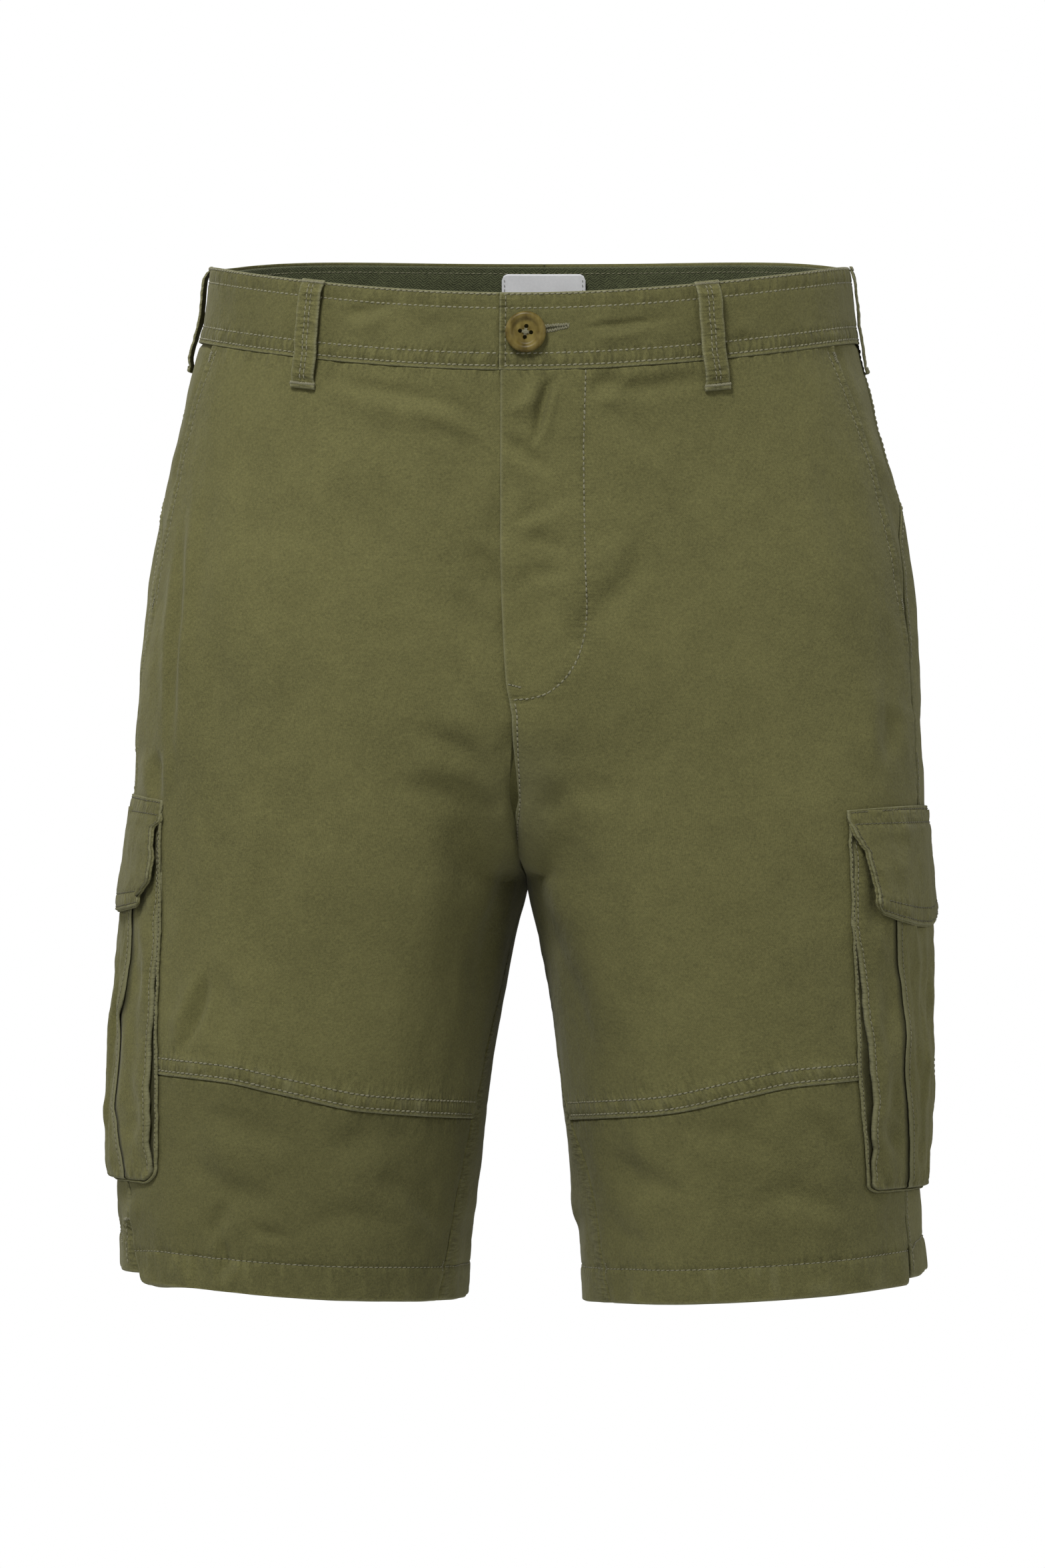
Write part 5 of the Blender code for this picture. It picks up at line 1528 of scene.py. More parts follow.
def belt_loop(name, side, u_mid, lean, seed):
    rows = to_step([0, 0.006, 0.014, 0.024, 0.04, 0.06] + list(np.linspace(0.08, 0.92, 50)) + [0.94, 0.955, 0.97, 0.982, 0.992, 1.0], 2)
    across = np.array([-1, -0.985, -0.94, -0.86, -0.72, -0.5, -0.3, -0.18, -0.06, 0.06, 0.18, 0.3, 0.5, 0.72, 0.86, 0.94, 0.985, 1])
    across = np.append(across[:9], np.append([0.0], across[9:]))
    b = np.repeat(rows[:, None], len(across), axis=1)
    a = np.repeat(across[None, :], len(rows), axis=0)
    top = 18.2 if name == "belt_loop_back" else 19.6
    z = top - (top + 17.6 + LOOP_BELOW) * b
    um = u_mid + lean * (b - 0.5) * 2
    width = LOOP_W + 1.3 * smoothstep((b - 0.925) / 0.03) + 0.5 * smoothstep((0.04 - b) / 0.03)
    wander = 0.0012 * noise2(b * 4.0, 0.0, seed)
    at_u = um + wander
    scale = arc(side, np.clip(at_u, 0, 0.999), z)
    u = at_u + a * width / 2 / scale
    rise = 0.5 if name == "belt_loop_side_left" else 2.2
    stand = 0.75 + rise * smoothstep(b / 0.13) * smoothstep((1 - b) / 0.16) + 0.5 * noise2(b * 3.0, a * 0.4, seed + 3)
    stand = stand + np.where(z > -19, 0.5, 0.5 * smoothstep((z + 26) / 7.0))
    edge = (1 - np.abs(a)) * LOOP_W / 2
    off = stand + 1.2 - roll(edge, 0.9) - dip(np.abs(a) * LOOP_W / 2 - 1.1, 0.7, 0.22)
    off = off - roll(b * 55.0, 0.8) - roll((1 - b) * 55.0, 0.8)
    off = off + 0.5 * pucker(z, a * 6, seed + 9, 2.4) + 0.5 * smoothstep((b - 0.93) / 0.02)
    fold = dip((b - 0.945) * 55.0, 0.9, 0.7) + dip((b - 0.035) * 55.0, 1.0, 0.5) + dip(np.abs(a) * 6 - 1.1, 0.7, 0.25)
    off = off - fold
    uu, flip = np.where(u > 1, 2 - u, u), np.where(u > 1, -1.0, 1.0)
    p = body(side, uu, z)
    p[..., 0] = p[..., 0] * flip
    n = normal(side, uu, z)
    n[..., 0] = n[..., 0] * flip
    d = slack(p, n)
    top = p + n * (off + d)[..., None]
    under = p + n * (np.minimum(stand, off - 0.35) + d)[..., None]
    wear_and_painted_shading = 0.8 * np.exp(-((edge / 0.8) ** 2)) + 0.5 * np.exp(-(((1 - b) * 55 / 1.5) ** 2)) + 0.5 * np.exp(-((b * 55 / 1.5) ** 2))
    gathers = {"gather_z": 0.9 * close_to(np.abs(np.abs(a) * 6 - 1.1), 2.0, 0.4) + 0.5 * close_to(edge, 1.0)}
    obj = shell(name, top, under, TWILL, np.stack([a * 6, z], -1), np.clip(wear_and_painted_shading, 0, 1), 2, gathers)
    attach(obj, "root")
    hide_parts(name)
    # two rows down the middle and the bartacks
    bs = rows[4:-6]
    for off_a in (-1.1, 1.1):
        k = int(np.argmin(np.abs(across - off_a / 6.0)))
        line = top[4:-6, k] + n[4:-6, k] * 0.02
        side_step = top[4:-6, k] * 0
        dense = np.linspace(0, len(bs) - 1, 200)
        line = np.stack([np.interp(dense, np.arange(len(bs)), line[:, i]) for i in range(3)], -1) + 0 * side_step[:1]
        nn = np.stack([np.interp(dense, np.arange(len(bs)), n[4:-6, k][:, i]) for i in range(3)], -1)
        band_thread.row(line, nn, pitch=2.8, length=2.35, thick=0.66)
    for target in (0.022, 0.955):
        r = int(np.argmin(np.abs(rows - target)))
        band_thread.tack(top[r, 1:-1], n[r, 1:-1], 1.5, 0.34, 0.5)
    return obj


# ------------------------------------------------------------------------ button
def ring_mesh(name, profile, segments, mat, place):
    prof = np.array(profile, float)
    w = 2 * np.pi * np.arange(segments) / segments
    v = [place @ Vector((0, 0, prof[0, 1]))]
    rings = []
    for r, h in prof[1:-1]:
        rings.append([place @ Vector((r * math.cos(t), r * math.sin(t), h)) for t in w])
    end = place @ Vector((0, 0, prof[-1, 1]))
    verts = [v[0]] + [q for ring in rings for q in ring] + [end]
    quads, tris = [], []
    for k in range(segments):
        k2 = (k + 1) % segments
        tris.append((0, 1 + k, 1 + k2))
        last = 1 + (len(rings) - 1) * segments
        tris.append((len(verts) - 1, last + k2, last + k))
        for r in range(len(rings) - 1):
            a0 = 1 + r * segments
            quads.append((a0 + k, a0 + segments + k, a0 + segments + k2, a0 + k2))
    return add_mesh(name, np.array([tuple(q) for q in verts]), np.array(quads), np.array(tris), mat)


def button():
    z = np.array(BUTTON_Z)
    u = u_at_x(np.array(BUTTON_X), z)
    c = body(1, u, z) + normal(1, u, z) * 1.5
    place = Matrix.Translation(Vector(c)) @ Matrix.Rotation(math.radians(90), 4, "X")
    profile = [(0, 1.9), (1.5, 1.9), (3.6, 1.92), (5.3, 1.96), (5.9, 2.1), (6.5, 2.7), (7.0, 3.25), (7.7, 3.55), (8.5, 3.58),
               (9.2, 3.35), (9.7, 2.9), (9.95, 2.3), (10.0, 1.7), (9.7, 1.0), (9.0, 0.45), (7.5, 0.15), (4.0, 0.0), (0, 0.0)]
    obj = ring_mesh("button_face", profile, 72, HORN, place)
    cutters = []
    for k in range(4):
        turn = math.radians(90 * k + 8)
        hx, hy = 2.7 * math.sin(turn), 2.7 * math.cos(turn)
        wide = [(0, 5.0), (1.25, 5.0), (1.25, 2.2), (1.0, 1.75), (1.0, -1.0), (0, -1.0)]
        spot = place @ Matrix.Translation(Vector((hx, hy, 0)))
        cutters.append(ring_mesh("hole%d" % k, wide, 20, HORN, spot))
    for cutter in cutters:
        mod = obj.modifiers.new("hole", "BOOLEAN")
        mod.operation = "DIFFERENCE"
        mod.object = cutter
        mod.solver = "EXACT"
    bpy.context.view_layer.update()
    made = bpy.data.meshes.new_from_object(obj.evaluated_get(bpy.context.evaluated_depsgraph_get()))
    obj.modifiers.clear()
    obj.data = made
    for cutter in cutters:
        bpy.data.objects.remove(cutter, do_unlink=True)
    made.shade_smooth()
    made.set_sharp_from_angle(angle=math.radians(42))
    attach(obj, "root")
    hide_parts("button")
    # the thread through the holes, a cross of a few strands each way
    base = Matrix(place).to_3x3()
    up = np.array(base @ Vector((0, 0, 1)))
    spots = []
    for k in range(4):
        turn = math.radians(90 * k + 8)
        spots.append(np.array(place @ Vector((2.7 * math.sin(turn), 2.7 * math.cos(turn), 2.15))))
    for i, j in ((0, 2), (1, 3)):
        d = spots[j] - spots[i]
        across = np.cross(up, d)
        across /= np.linalg.norm(across)
        for s in (-0.5, 0.0, 0.5):
            c2 = (spots[i] + spots[j]) / 2 + across * s + up * (0.0 + 0.25 * (i == 1))
            button_thread.add(c2[None], d[None], up[None], 3.9, 0.55)
    return obj


button_thread = Thread()


def buttonhole():
    """The end of the buttonhole that shows beside the button: close stitches."""
    for d, group in ((-1.35, band_thread), (1.35, band_thread), (-0.35, dark), (0.35, dark), (-1.0, band_thread), (1.0, band_thread)):
        xs = np.linspace(12.0, 26.0, 40)
        zs = 1.0 + 0.12 * (xs - 15.6) + d * (1 - 0.45 * smoothstep((xs - 17) / 9))
        us = u_at_x(xs, zs)
        p, n = laid(1, us, zs, band_layer(1, us, zs)[0])
        group.tack(p, n, 1.5 if group is band_thread else 0.9, 0.62 if abs(d) > 0.5 else 0.8, 0.55, 0.16)
    xs = np.linspace(25.6, 26.8, 8)
    zs = 1.0 + 0.12 * (xs - 15.6)
    us = u_at_x(xs, zs)
    p, n = laid(1, us, zs, band_layer(1, us, zs)[0])
    band_thread.tack(p, n, 2.6, 0.5, 0.5, 0.12)


# ----------------------------------------------------------------- cargo pockets
# edges as they show in the picture's frame, (y, x): the front fold of the
# bellows, the front edge of the pocket's face, the fold of its pleat and the
# front edge of the flap
LIP_EDGE = {1: ((1215, 1275), (1260, 1276), (1328, 1279), (1387, 1281), (1476, 1285), (1560, 1288.5), (1612, 1290), (1679, 1295.5),
                (1733, 1301), (1768, 1302), (1789, 1304)),
            -1: ((1200, 241), (1239, 240), (1309, 239), (1387, 240), (1453, 237), (1500, 235), (1545, 233.5), (1634, 235),
                 (1715, 235), (1776, 234))}
FACE_EDGE = {1: ((1215, 1282), (1260, 1284), (1291, 1287), (1335, 1285.5), (1387, 1284), (1417, 1288), (1439, 1293.5), (1483, 1298),
                 (1527, 1302), (1567, 1309), (1590, 1309.5), (1612, 1311), (1648, 1315), (1670, 1313), (1697, 1311), (1724, 1315.5),
                 (1750, 1313), (1786, 1316)),
             -1: ((1200, 236), (1272, 232), (1339, 234), (1387, 229), (1416, 230.5), (1476, 226), (1513, 225), (1545, 223),
                  (1560, 221), (1598, 220.5), (1636, 221), (1674, 221.5), (1704, 220), (1723, 219), (1746, 222), (1776, 222))}
PLEAT_EDGE = {1: ((1200, 1345), (1387, 1349), (1439, 1351), (1494, 1354), (1550, 1358), (1590, 1360), (1652, 1364), (1768, 1367)),
              -1: ((1200, 196), (1394, 193), (1439, 191), (1494, 189), (1508, 188), (1522, 184), (1534, 179), (1554, 174), (1580, 171),
                   (1634, 174.5), (1724, 181), (1768, 183.5))}
FLAP_EDGE = {1: ((1205, 1273), (1215, 1273), (1226, 1273.5), (1239, 1277), (1248, 1281), (1259, 1289), (1272, 1297), (1291, 1305),
                 (1313, 1312), (1331, 1316), (1350, 1317.5), (1375, 1322)),
             -1: ((1195, 241), (1204, 241), (1224, 239), (1231, 238), (1238, 230), (1246, 226.5), (1269, 225), (1287, 224.5),
                  (1312, 223.5), (1323, 221), (1330, 214), (1343, 203), (1350, 205), (1359, 205), (1375, 197))}
POCKET_LOW = {1: -438.2, -1: -436.4}
POCKET_ROUND = {1: 3.0, -1: 6.5}


def edge_u(side, table, height):
    """u of a line of the picture on the cloth at a height over the leg, by z."""
    ys, xs = np.array(table, float).T

    def solve(z):
        lo, hi = np.full(z.shape, 0.14), np.full(z.shape, 0.5)
        for _ in range(20):
            mid = (lo + hi) / 2
            px, py = photo_xy(laid(side, mid, z, height(z) if callable(height) else np.full(z.shape, height))[0])
            short = side * (px - np.interp(py, ys, xs)) < 0
            lo, hi = np.where(short, mid, lo), np.where(short, hi, mid)
        return (lo + hi) / 2

    return along_z(solve, -446.0, -238.0, 1.0)


def evened(line, reach):
    """The same line with its short bends evened out over a reach up and down."""
    steps = np.linspace(-1, 1, 9)
    weights = 1.02 - np.abs(steps)
    return lambda z: sum(w * line(z + reach * t) for w, t in zip(weights, steps)) / weights.sum()


lip_u = {s: edge_u(s, LIP_EDGE[s], 1.4) for s in (1, -1)}
face_u = {s: evened(edge_u(s, FACE_EDGE[s], 3.9), 3.0) for s in (1, -1)}
fold_u = {s: evened(edge_u(s, PLEAT_EDGE[s], 4.5), 13.0 if s < 0 else 5.0) for s in (1, -1)}
calm_u = {s: evened(fold_u[s], 45.0) for s in (1, -1)}
flap_u = {s: edge_u(s, FLAP_EDGE[s], lambda z: np.interp(z, [-303.0, -275.0, -245.0], [6.6, 4.8, 0.8])) for s in (1, -1)}


def corner_rise(s, r):
    """How far a rounded corner's bottom edge rises at s mm from its side."""
    t = np.clip(s, 0, r)
    return r - np.sqrt(np.maximum(r * r - (r - t) ** 2, 0))


def cargo_pocket(side):
    """The bellows pocket's face with its inverted pleat: the raised middle folds
    back under itself at both edges."""
    low = POCKET_LOW[side] + 0.9
    strip = 22.0
    width = 2 * strip + 96.0
    fold = ((-0.6, -0.1), (1.6, -0.2), (3.6, -0.2), (4.2, 0.0), (3.0, 0.12), (1.1, 0.16), (0.25, 0.3), (0.0, 0.55),
            (0.3, 0.85), (1.0, 1.02), (2.2, 1.05), (3.4, 1.15))
    first = [("edge", d, h, d) for d, h in ((0.0, -1.6), (0.1, -0.9), (0.45, -0.35), (1.0, -0.05), (1.6, 0.0), (2.2, 0.0), (3.0, 0.0))]
    for k in range(1, 10):
        first.append(("strip", k / 10.0, 0.0, 3.0 + 17.5 * k / 10.0))
    first += [("fold", d, h, strip + d) for d, h in fold]
    n_mid = 44
    middle = [("mid", k / (n_mid - 1.0), 1.55, strip + 4.5 + (width - 2 * strip - 9.0) * k / (n_mid - 1)) for k in range(n_mid)]
    last = [("back_" + kind, d, h, width - e) for kind, d, h, e in first[::-1]]
    while (len(first) * 2 + len(middle) - 1) % 3:
        n_mid += 1
        middle = [("mid", k / (n_mid - 1.0), 1.55, strip + 4.5 + (width - 2 * strip - 9.0) * k / (n_mid - 1)) for k in range(n_mid)]
    columns = first + middle + last
    d_mm, h_mm = np.array([c[3] for c in columns]), np.array([c[2] for c in columns])
    v = to_step([0, 0.2, 0.5, 1.0, 1.7, 2.6, 3.8, 5.2, 7.0] + list(np.arange(8.9, -251.0 - low, 1.85)) + [-251.0 - low])[::-1]
    dd = np.repeat(d_mm[None, :], len(v), axis=0)
    hh = np.repeat(h_mm[None, :], len(v), axis=0)
    side_d = np.minimum(dd, width - dd)
    z = low + v[:, None] + corner_rise(side_d, POCKET_ROUND[side]) * np.exp(-v[:, None] / 9.0)
    db = z - low - corner_rise(side_d, POCKET_ROUND[side])
    # the front edge wanders as the washed bellows does
    zig = 0.45 * noise2(z / 7.0, 0.0, 91 + side) + 0.3 * noise2(z / 3.2, 0.0, 93 + side)
    u = np.empty(z.shape)
    for j, (kind, d, h, e) in enumerate(columns):
        zz = z[:, j]
        ue, ub = face_u[side](zz), cargo_back_u(zz)
        uf = np.clip(fold_u[side](zz), ue + 0.02, 0.432)
        uc = np.clip(calm_u[side](zz), ue + 0.02, 0.425)
        ug = ub - strip / 385.0 + 0.0016 * noise2(zz / 18.0, 2.0, 97 + side)
        a = 1.0 / 385.0
        wob = zig[:, j] * a
        if kind == "edge":
            u[:, j] = ue + d * a + wob * np.exp(-d / 4.0)
        elif kind == "strip":
            s0, s1 = ue + 3.0 * a, uf - 0.8 * a
            u[:, j] = s0 + (s1 - s0) * d + wob * 0.3 * (1 - d)
        elif kind == "fold":
            u[:, j] = uf + d * a
        elif kind == "mid":
            um = uf + (uc - uf) * smoothstep(d / 0.3)
            u[:, j] = um + 4.5 * a + (ug - um - 9.0 * a) * d
        elif kind == "back_fold":
            u[:, j] = ug - d * a
        elif kind == "back_strip":
            s0, s1 = ub - 3.0 * a, ug + 0.8 * a
            u[:, j] = s0 + (s1 - s0) * d
        else:
            u[:, j] = ub - d * a - wob * np.exp(-d / 4.0)
    s = np.clip(dd / width, 0, 1)
    if side > 0:
        crown = np.interp(z, [-438, -413, -384, -347, -307, -285, -262, -250], [3.0, 3.6, 4.0, 4.0, 2.6, 1.6, 0.8, 0.3])
        edge_h = np.interp(z, [-438, -420, -384, -347, -307, -285, -262, -250], [2.2, 3.3, 3.6, 3.0, 2.2, 1.6, 0.9, 0.5])
    else:
        crown = np.interp(z, [-435, -427, -400, -377, -362, -352, -342, -328, -304, -285, -262, -250],
                          [3.2, 4.4, 5.5, 5.0, 4.0, 3.2, 3.6, 3.5, 1.9, 1.0, 0.5, 0.2])
        edge_h = np.interp(z, [-435, -420, -384, -347, -307, -285, -262, -250], [2.4, 3.6, 3.8, 3.2, 2.2, 1.6, 0.9, 0.5])
    round_s = smoothstep(np.minimum(s, 1 - s) / 0.32)
    belly = edge_h + (crown - edge_h) * round_s
    open_pleat = np.ones(z.shape)
    if side < 0:
        open_pleat = open_pleat + 0.75 * np.exp(-(((z + 352) / 11.0) ** 2))
    else:
        open_pleat = open_pleat + 0.5 * np.exp(-(((z + 410) / 22.0) ** 2))
    front_zone = np.exp(-dd / 6.0) + np.exp(-(width - dd) / 6.0)
    gather = pucker(z, dd, 99 + side, 3.4)
    off = belly + hh * np.where(hh > 0, open_pleat, 1.0) - roll(db, 1.3) - 0.6 * smoothstep((0.8 - db) / 0.8)
    off = off + 0.25 * gather * front_zone + 0.7 * pucker(dd, db, 103 + side, 3.4) * np.exp(-db / 5.0)
    off = off - dip(side_d - 1.6, 0.7, 0.35) - dip(db - 2.4, 0.8, 0.3) * (side > 0)
    soft = smoothstep(side_d / 4.0) * smoothstep(db / 6.0)
    off = off + soft * (1.35 * noise2(dd / 12.0, z / 34.0, 107 + side) + 0.75 * noise2(dd / 7.0, z / 15.0, 109 + side))
    off = off + 0.14 * noise2(dd / 3.6, z / 4.0, 111 + side)
    # slack folds: long soft ones beside the pleat, a sag over the bottom seam
    off = off + 1.5 * creases(dd, z, (
        (((9, -318), (12, -350), (8, -385)), 3.0, -1.1, 1), (((14, -372), (10, -400), (17, -432)), 3.0, -1.1, -1),
        (((19, -300), (16, -335), (19, -365)), 3.0, -0.8, -1), (((5, -400), (11, -412), (20, -408)), 2.5, -0.9, 1),
        (((40, -330), (34, -375), (42, -428)), 5.0, -0.9, 1), (((52, -330), (50, -380), (60, -430)), 6.0, 0.8, 0),
        (((95, -290), (104, -350), (92, -410)), 7.0, -0.8, -1),
        (((70, -425), (90, -412), (112, -422)), 5.0, -0.9, 1), (((126, -300), (130, -360), (124, -420)), 4.0, -0.9, 1)))
    edge_fold = np.exp(-(((dd - strip - 0.3) / 0.8) ** 2)) * (hh > 0.5)
    wear_and_painted_shading = 0.75 * np.exp(-((side_d / 0.8) ** 2)) + 0.6 * np.exp(-((db / 1.1) ** 2)) + 0.7 * edge_fold
    # painted shade: the cloth tucked under the pleat beside each fold is darkened
    tucked_painted_shade = (hh < 0.4) & (np.abs(dd - strip - 1.8) < 2.6)
    wear_and_painted_shading = wear_and_painted_shading - 0.9 * tucked_painted_shade
    p, n = body(side, u, z), normal(side, u, z)
    d = slack(p, n)
    top = p + n * (off + d)[..., None]
    thin = np.minimum(off - 0.7, np.minimum(belly - 1.5, 2.4))
    under = p + n * (np.maximum(thin, 0.35) * 1.0 + d)[..., None]
    under = np.where((off - np.maximum(thin, 0.35) < 0.3)[..., None], p + n * (off - 0.5 + d)[..., None], under)
    name = "cargo_pocket_left" if side > 0 else "cargo_pocket_right"
    gathers = {"gather_z": 0.3 * close_to(side_d, 3.0, 1.5), "gather_x": 0.7 * close_to(db, 4.0, 2.0)}
    obj = shell(name, top, under, TWILL, np.stack([dd, z], -1), np.clip(wear_and_painted_shading, -1, 1), 3, gathers)
    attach(obj, "root")
    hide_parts(name)
    # stitches: inside both side edges, and behind each fold of the pleat
    kinds = [c[0] for c in columns]
    rows = slice(6, None)
    for want, dist in (("edge", 1.6), ("back_edge", 1.6), ("fold", 2.2), ("back_fold", 2.2)):
        k = [j for j, c in enumerate(columns) if c[0] == want and abs(c[1] - dist) < 0.01 and c[2] > (0.9 if "fold" in want else -1)][0]
        pocket_thread.row(top[::-1, k][rows], n[::-1, k][rows], thick=0.62)
    return obj


def cargo_gusset(side):
    """The bellows strip: a stitched fold in front of, below and behind the
    pocket's face, and the recess between them."""
    low = POCKET_LOW[side]
    r = POCKET_ROUND[side] + 1.0
    top_z = -254.0
    total = 150.0
    # the path of its outer edge, (s, z) in mm, with the way inwards
    down = np.linspace(top_z, low + r, 88)
    path = [(0.0, q, 1.0, 0.0) for q in down]
    for w in np.linspace(0, math.pi / 2, 9)[1:-1]:
        path.append((r - r * math.cos(w), low + r - r * math.sin(w), math.cos(w), math.sin(w)))
    path += [(q, low, 0.0, 1.0) for q in np.linspace(r, total - r, 62)]
    for w in np.linspace(0, math.pi / 2, 9)[1:-1]:
        path.append((total - r + r * math.sin(w), low + r - r * math.cos(w), -math.sin(w), math.cos(w)))
    path += [(total, q, -1.0, 0.0) for q in down[::-1]]
    path = np.array(path)
    s, z0, ix, iz = path.T
    n_s = len(path)
    gap_u = np.clip(face_u[side](z0) - lip_u[side](z0), 0.0, 0.05)
    gap = np.where(s < total / 2, gap_u * 385.0, 0.8) * np.clip(ix, 0, 1) + 0.8 * (1 - np.clip(ix, 0, 1))
    run = np.concatenate([[0], np.cumsum(np.hypot(np.diff(s), np.diff(z0)))])
    # cross section: inset from the outer edge (plus a share of the gap), height
    ring = ((0.9, 0.0, 0.3), (0.1, 0.0, 0.4), (-0.25, 0.0, 0.8), (-0.25, 0.0, 1.35), (0.05, 0.0, 1.75), (0.55, 0.0, 1.85), (1.0, 0.0, 1.75),
            (1.35, 0.0, 1.4), (1.45, 0.05, 0.95), (1.6, 0.25, 0.6), (1.7, 0.55, 0.5), (1.6, 0.85, 0.55), (1.6, 1.0, 0.9), (2.6, 1.0, 1.2),
            (6.0, 1.0, 1.2), (6.8, 1.0, 0.8), (6.0, 1.0, 0.3), (3.0, 0.5, 0.3))
    m = len(ring)
    pts, nrm = [], []
    for j, (inset, share, h) in enumerate(ring):
        # between lip and face: the closer they are, the narrower the lip
        room = np.clip(gap / 3.0, 0.55, 1.0)
        wob = 0.30 * noise2(run / 9.0, h * 0.15, 121 + side) + 0.25 * noise2(run / 3.6, h * 0.15, 123 + side)
        off = inset * np.where(inset > 0, np.where(inset < 2.5, room, 1.0), 1.0) + share * gap * 0.85
        off = off + wob * (1 if 0.4 < h else 0.3)
        ss, z = s + ix * off, np.maximum(z0 + iz * off, low - 1.2)
        ul, ub = lip_u[side](z), cargo_back_u(z) + 1.4 / 385.0
        u = np.where(ss < total / 2, ul + ss / 385.0, ub - (total - ss) / 385.0)
        mid = (ss > 20) & (ss < total - 20)
        across = np.clip((ss - 20) / (total - 40), 0, 1)
        u = np.where(mid, (ul + 20 / 385.0) * (1 - across) + (ub - 20 / 385.0) * across, u)
        p, n = body(side, u, z), normal(side, u, z)
        height = h + 0.25 * noise2(run / 5.0, 3.0 + h, 125 + side) * (h > 1.2)
        top_in = smoothstep((z + 262) / 8.0)
        if inset > 1.9:
            height = np.minimum(height, np.interp(z, [-440, -347, -307, -285, -262, -250], [1.2, 1.2, 0.7, 0.3, 0.0, -0.4]))
        pts.append(p + n * (height * (1 - 0.45 * top_in) + slack(p, n))[..., None])
        nrm.append(n)
    pts = np.array(pts)
    verts = pts.transpose(1, 0, 2).reshape(-1, 3)
    i, j = np.meshgrid(np.arange(n_s - 1), np.arange(m), indexing="ij")
    j2 = (j + 1) % m
    quads = np.stack([i * m + j, i * m + j2, (i + 1) * m + j2, (i + 1) * m + j], -1).reshape(-1, 4)
    ends = [verts[:m].mean(0), verts[-m:].mean(0)]
    verts = np.concatenate([verts, np.array(ends)])
    tris = []
    for j in range(m):
        j2 = (j + 1) % m
        tris.append((n_s * m, j2, j))
        tris.append((n_s * m + 1, (n_s - 1) * m + j, (n_s - 1) * m + j2))
    tris = np.array(tris)
    # outward: the fold's outer edge faces away from the pocket
    k = n_s // 6
    q = verts[k * m + 2], verts[k * m + 3], verts[(k + 1) * m + 3]
    face = np.cross(q[1] - q[0], q[2] - q[0])
    centre = verts[k * m:(k + 1) * m].mean(0)
    if face @ (q[0] - centre) < 0:
        quads, tris = quads[:, ::-1], tris[:, ::-1]
    uv = np.zeros((len(verts), 2))
    uv[:-2, 0] = np.tile(np.arange(m) * 0.9, n_s)
    uv[:-2, 1] = np.repeat(run, m)
    # round the fold the outer crest is paler with wear, and the inner side, down in the recess, is darkened as painted
    # shade
    ring_wear_and_shade = np.array([0.0, 0.1, 0.45, 0.6, 0.5, 0.1, 0.0, -0.1, -0.5, -0.8, -0.95, -1.0, -1.0, -1.0, -1, -1, -1, 0])
    wear_and_painted_shading = np.zeros(len(verts))
    wear_and_painted_shading[:-2] = np.tile(ring_wear_and_shade, n_s)
    gz = np.zeros(len(verts))
    gz[:-2] = np.tile(np.where((np.arange(m) > 0) & (np.arange(m) < 8), 0.4, 0.1), n_s)
    name = "cargo_gusset_left" if side > 0 else "cargo_gusset_right"
    obj = add_mesh("cloth_" + name, verts, quads, tris, TWILL, uv, {"wear_and_painted_shading": wear_and_painted_shading, "gather_z": gz})
    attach(obj, "root")
    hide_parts(name)
    pocket_thread.row(pts[5][4:84], np.array(nrm)[5][4:84], pitch=2.4, length=1.5, thick=0.4, lift=-0.08)
    return obj


def flap_place(side, a, b, out=0.0, down=0.0):
    """Flap: a across, b down. Gives u, z and the height of its under side."""
    corner = (2 * np.clip(a, 0, 1) - 1) ** 2
    if side > 0:
        top, bottom = -248.6 - 2.6 * corner, -307.9 + 7.0 * corner
        lift = -0.1 + 2.0 * smoothstep(b / 0.25) + 3.2 * b
    else:
        top, bottom = -244.6 - 3.2 * corner, -303.0 + 3.4 * corner
        lift = -0.4 + 1.1 * smoothstep(b / 0.3) + 3.9 * b
    # the bottom corners are rounded off
    cut = corner_rise(np.minimum(a, 1 - a) * 128.0, 3.6) * smoothstep((b - 0.8) / 0.2)
    z = top + (bottom - top) * b + cut - down
    u0 = flap_u[side](z) - out / 385.0
    wave = 0.5 * noise2(b * 9.0, 0.0, 131 + side) + 0.35 * noise2(b * 21.0, 0.0, 132 + side)
    u0 = u0 + wave / 385.0
    back = np.interp(b, [0.0, 0.12, 0.4, 0.6, 0.8, 1.0], [-3.0, -1.0, 5.0, 9.0, 13.0, 17.0])
    u1 = cargo_back_u(z) - (back - wave - out) / 385.0
    u = u0 + (u1 - u0) * a
    # the front stands off where the pocket's edge lifts it
    front = np.exp(-np.clip(a, 0, 1) * 9.0)
    stand = 1.0 * smoothstep((b - 0.15) / 0.3) * front
    curl = 1.1 * smoothstep((b - 0.2) / 0.4) * front * noise2(b * 5.0, 0.5, 133 + side)
    wavy = (0.9 * noise2(a * 5.0, b * 0.8, 135 + side) + 0.4 * noise2(a * 11.0, b * 2.0, 137 + side)) * smoothstep((b - 0.25) / 0.5)
    return u, z, lift + stand + curl + 0.6 * wavy


def join(objs):
    with bpy.context.temp_override(active_object=objs[0], selected_editable_objects=objs, object=objs[0], selected_objects=objs):
        bpy.ops.object.join()
    return objs[0]


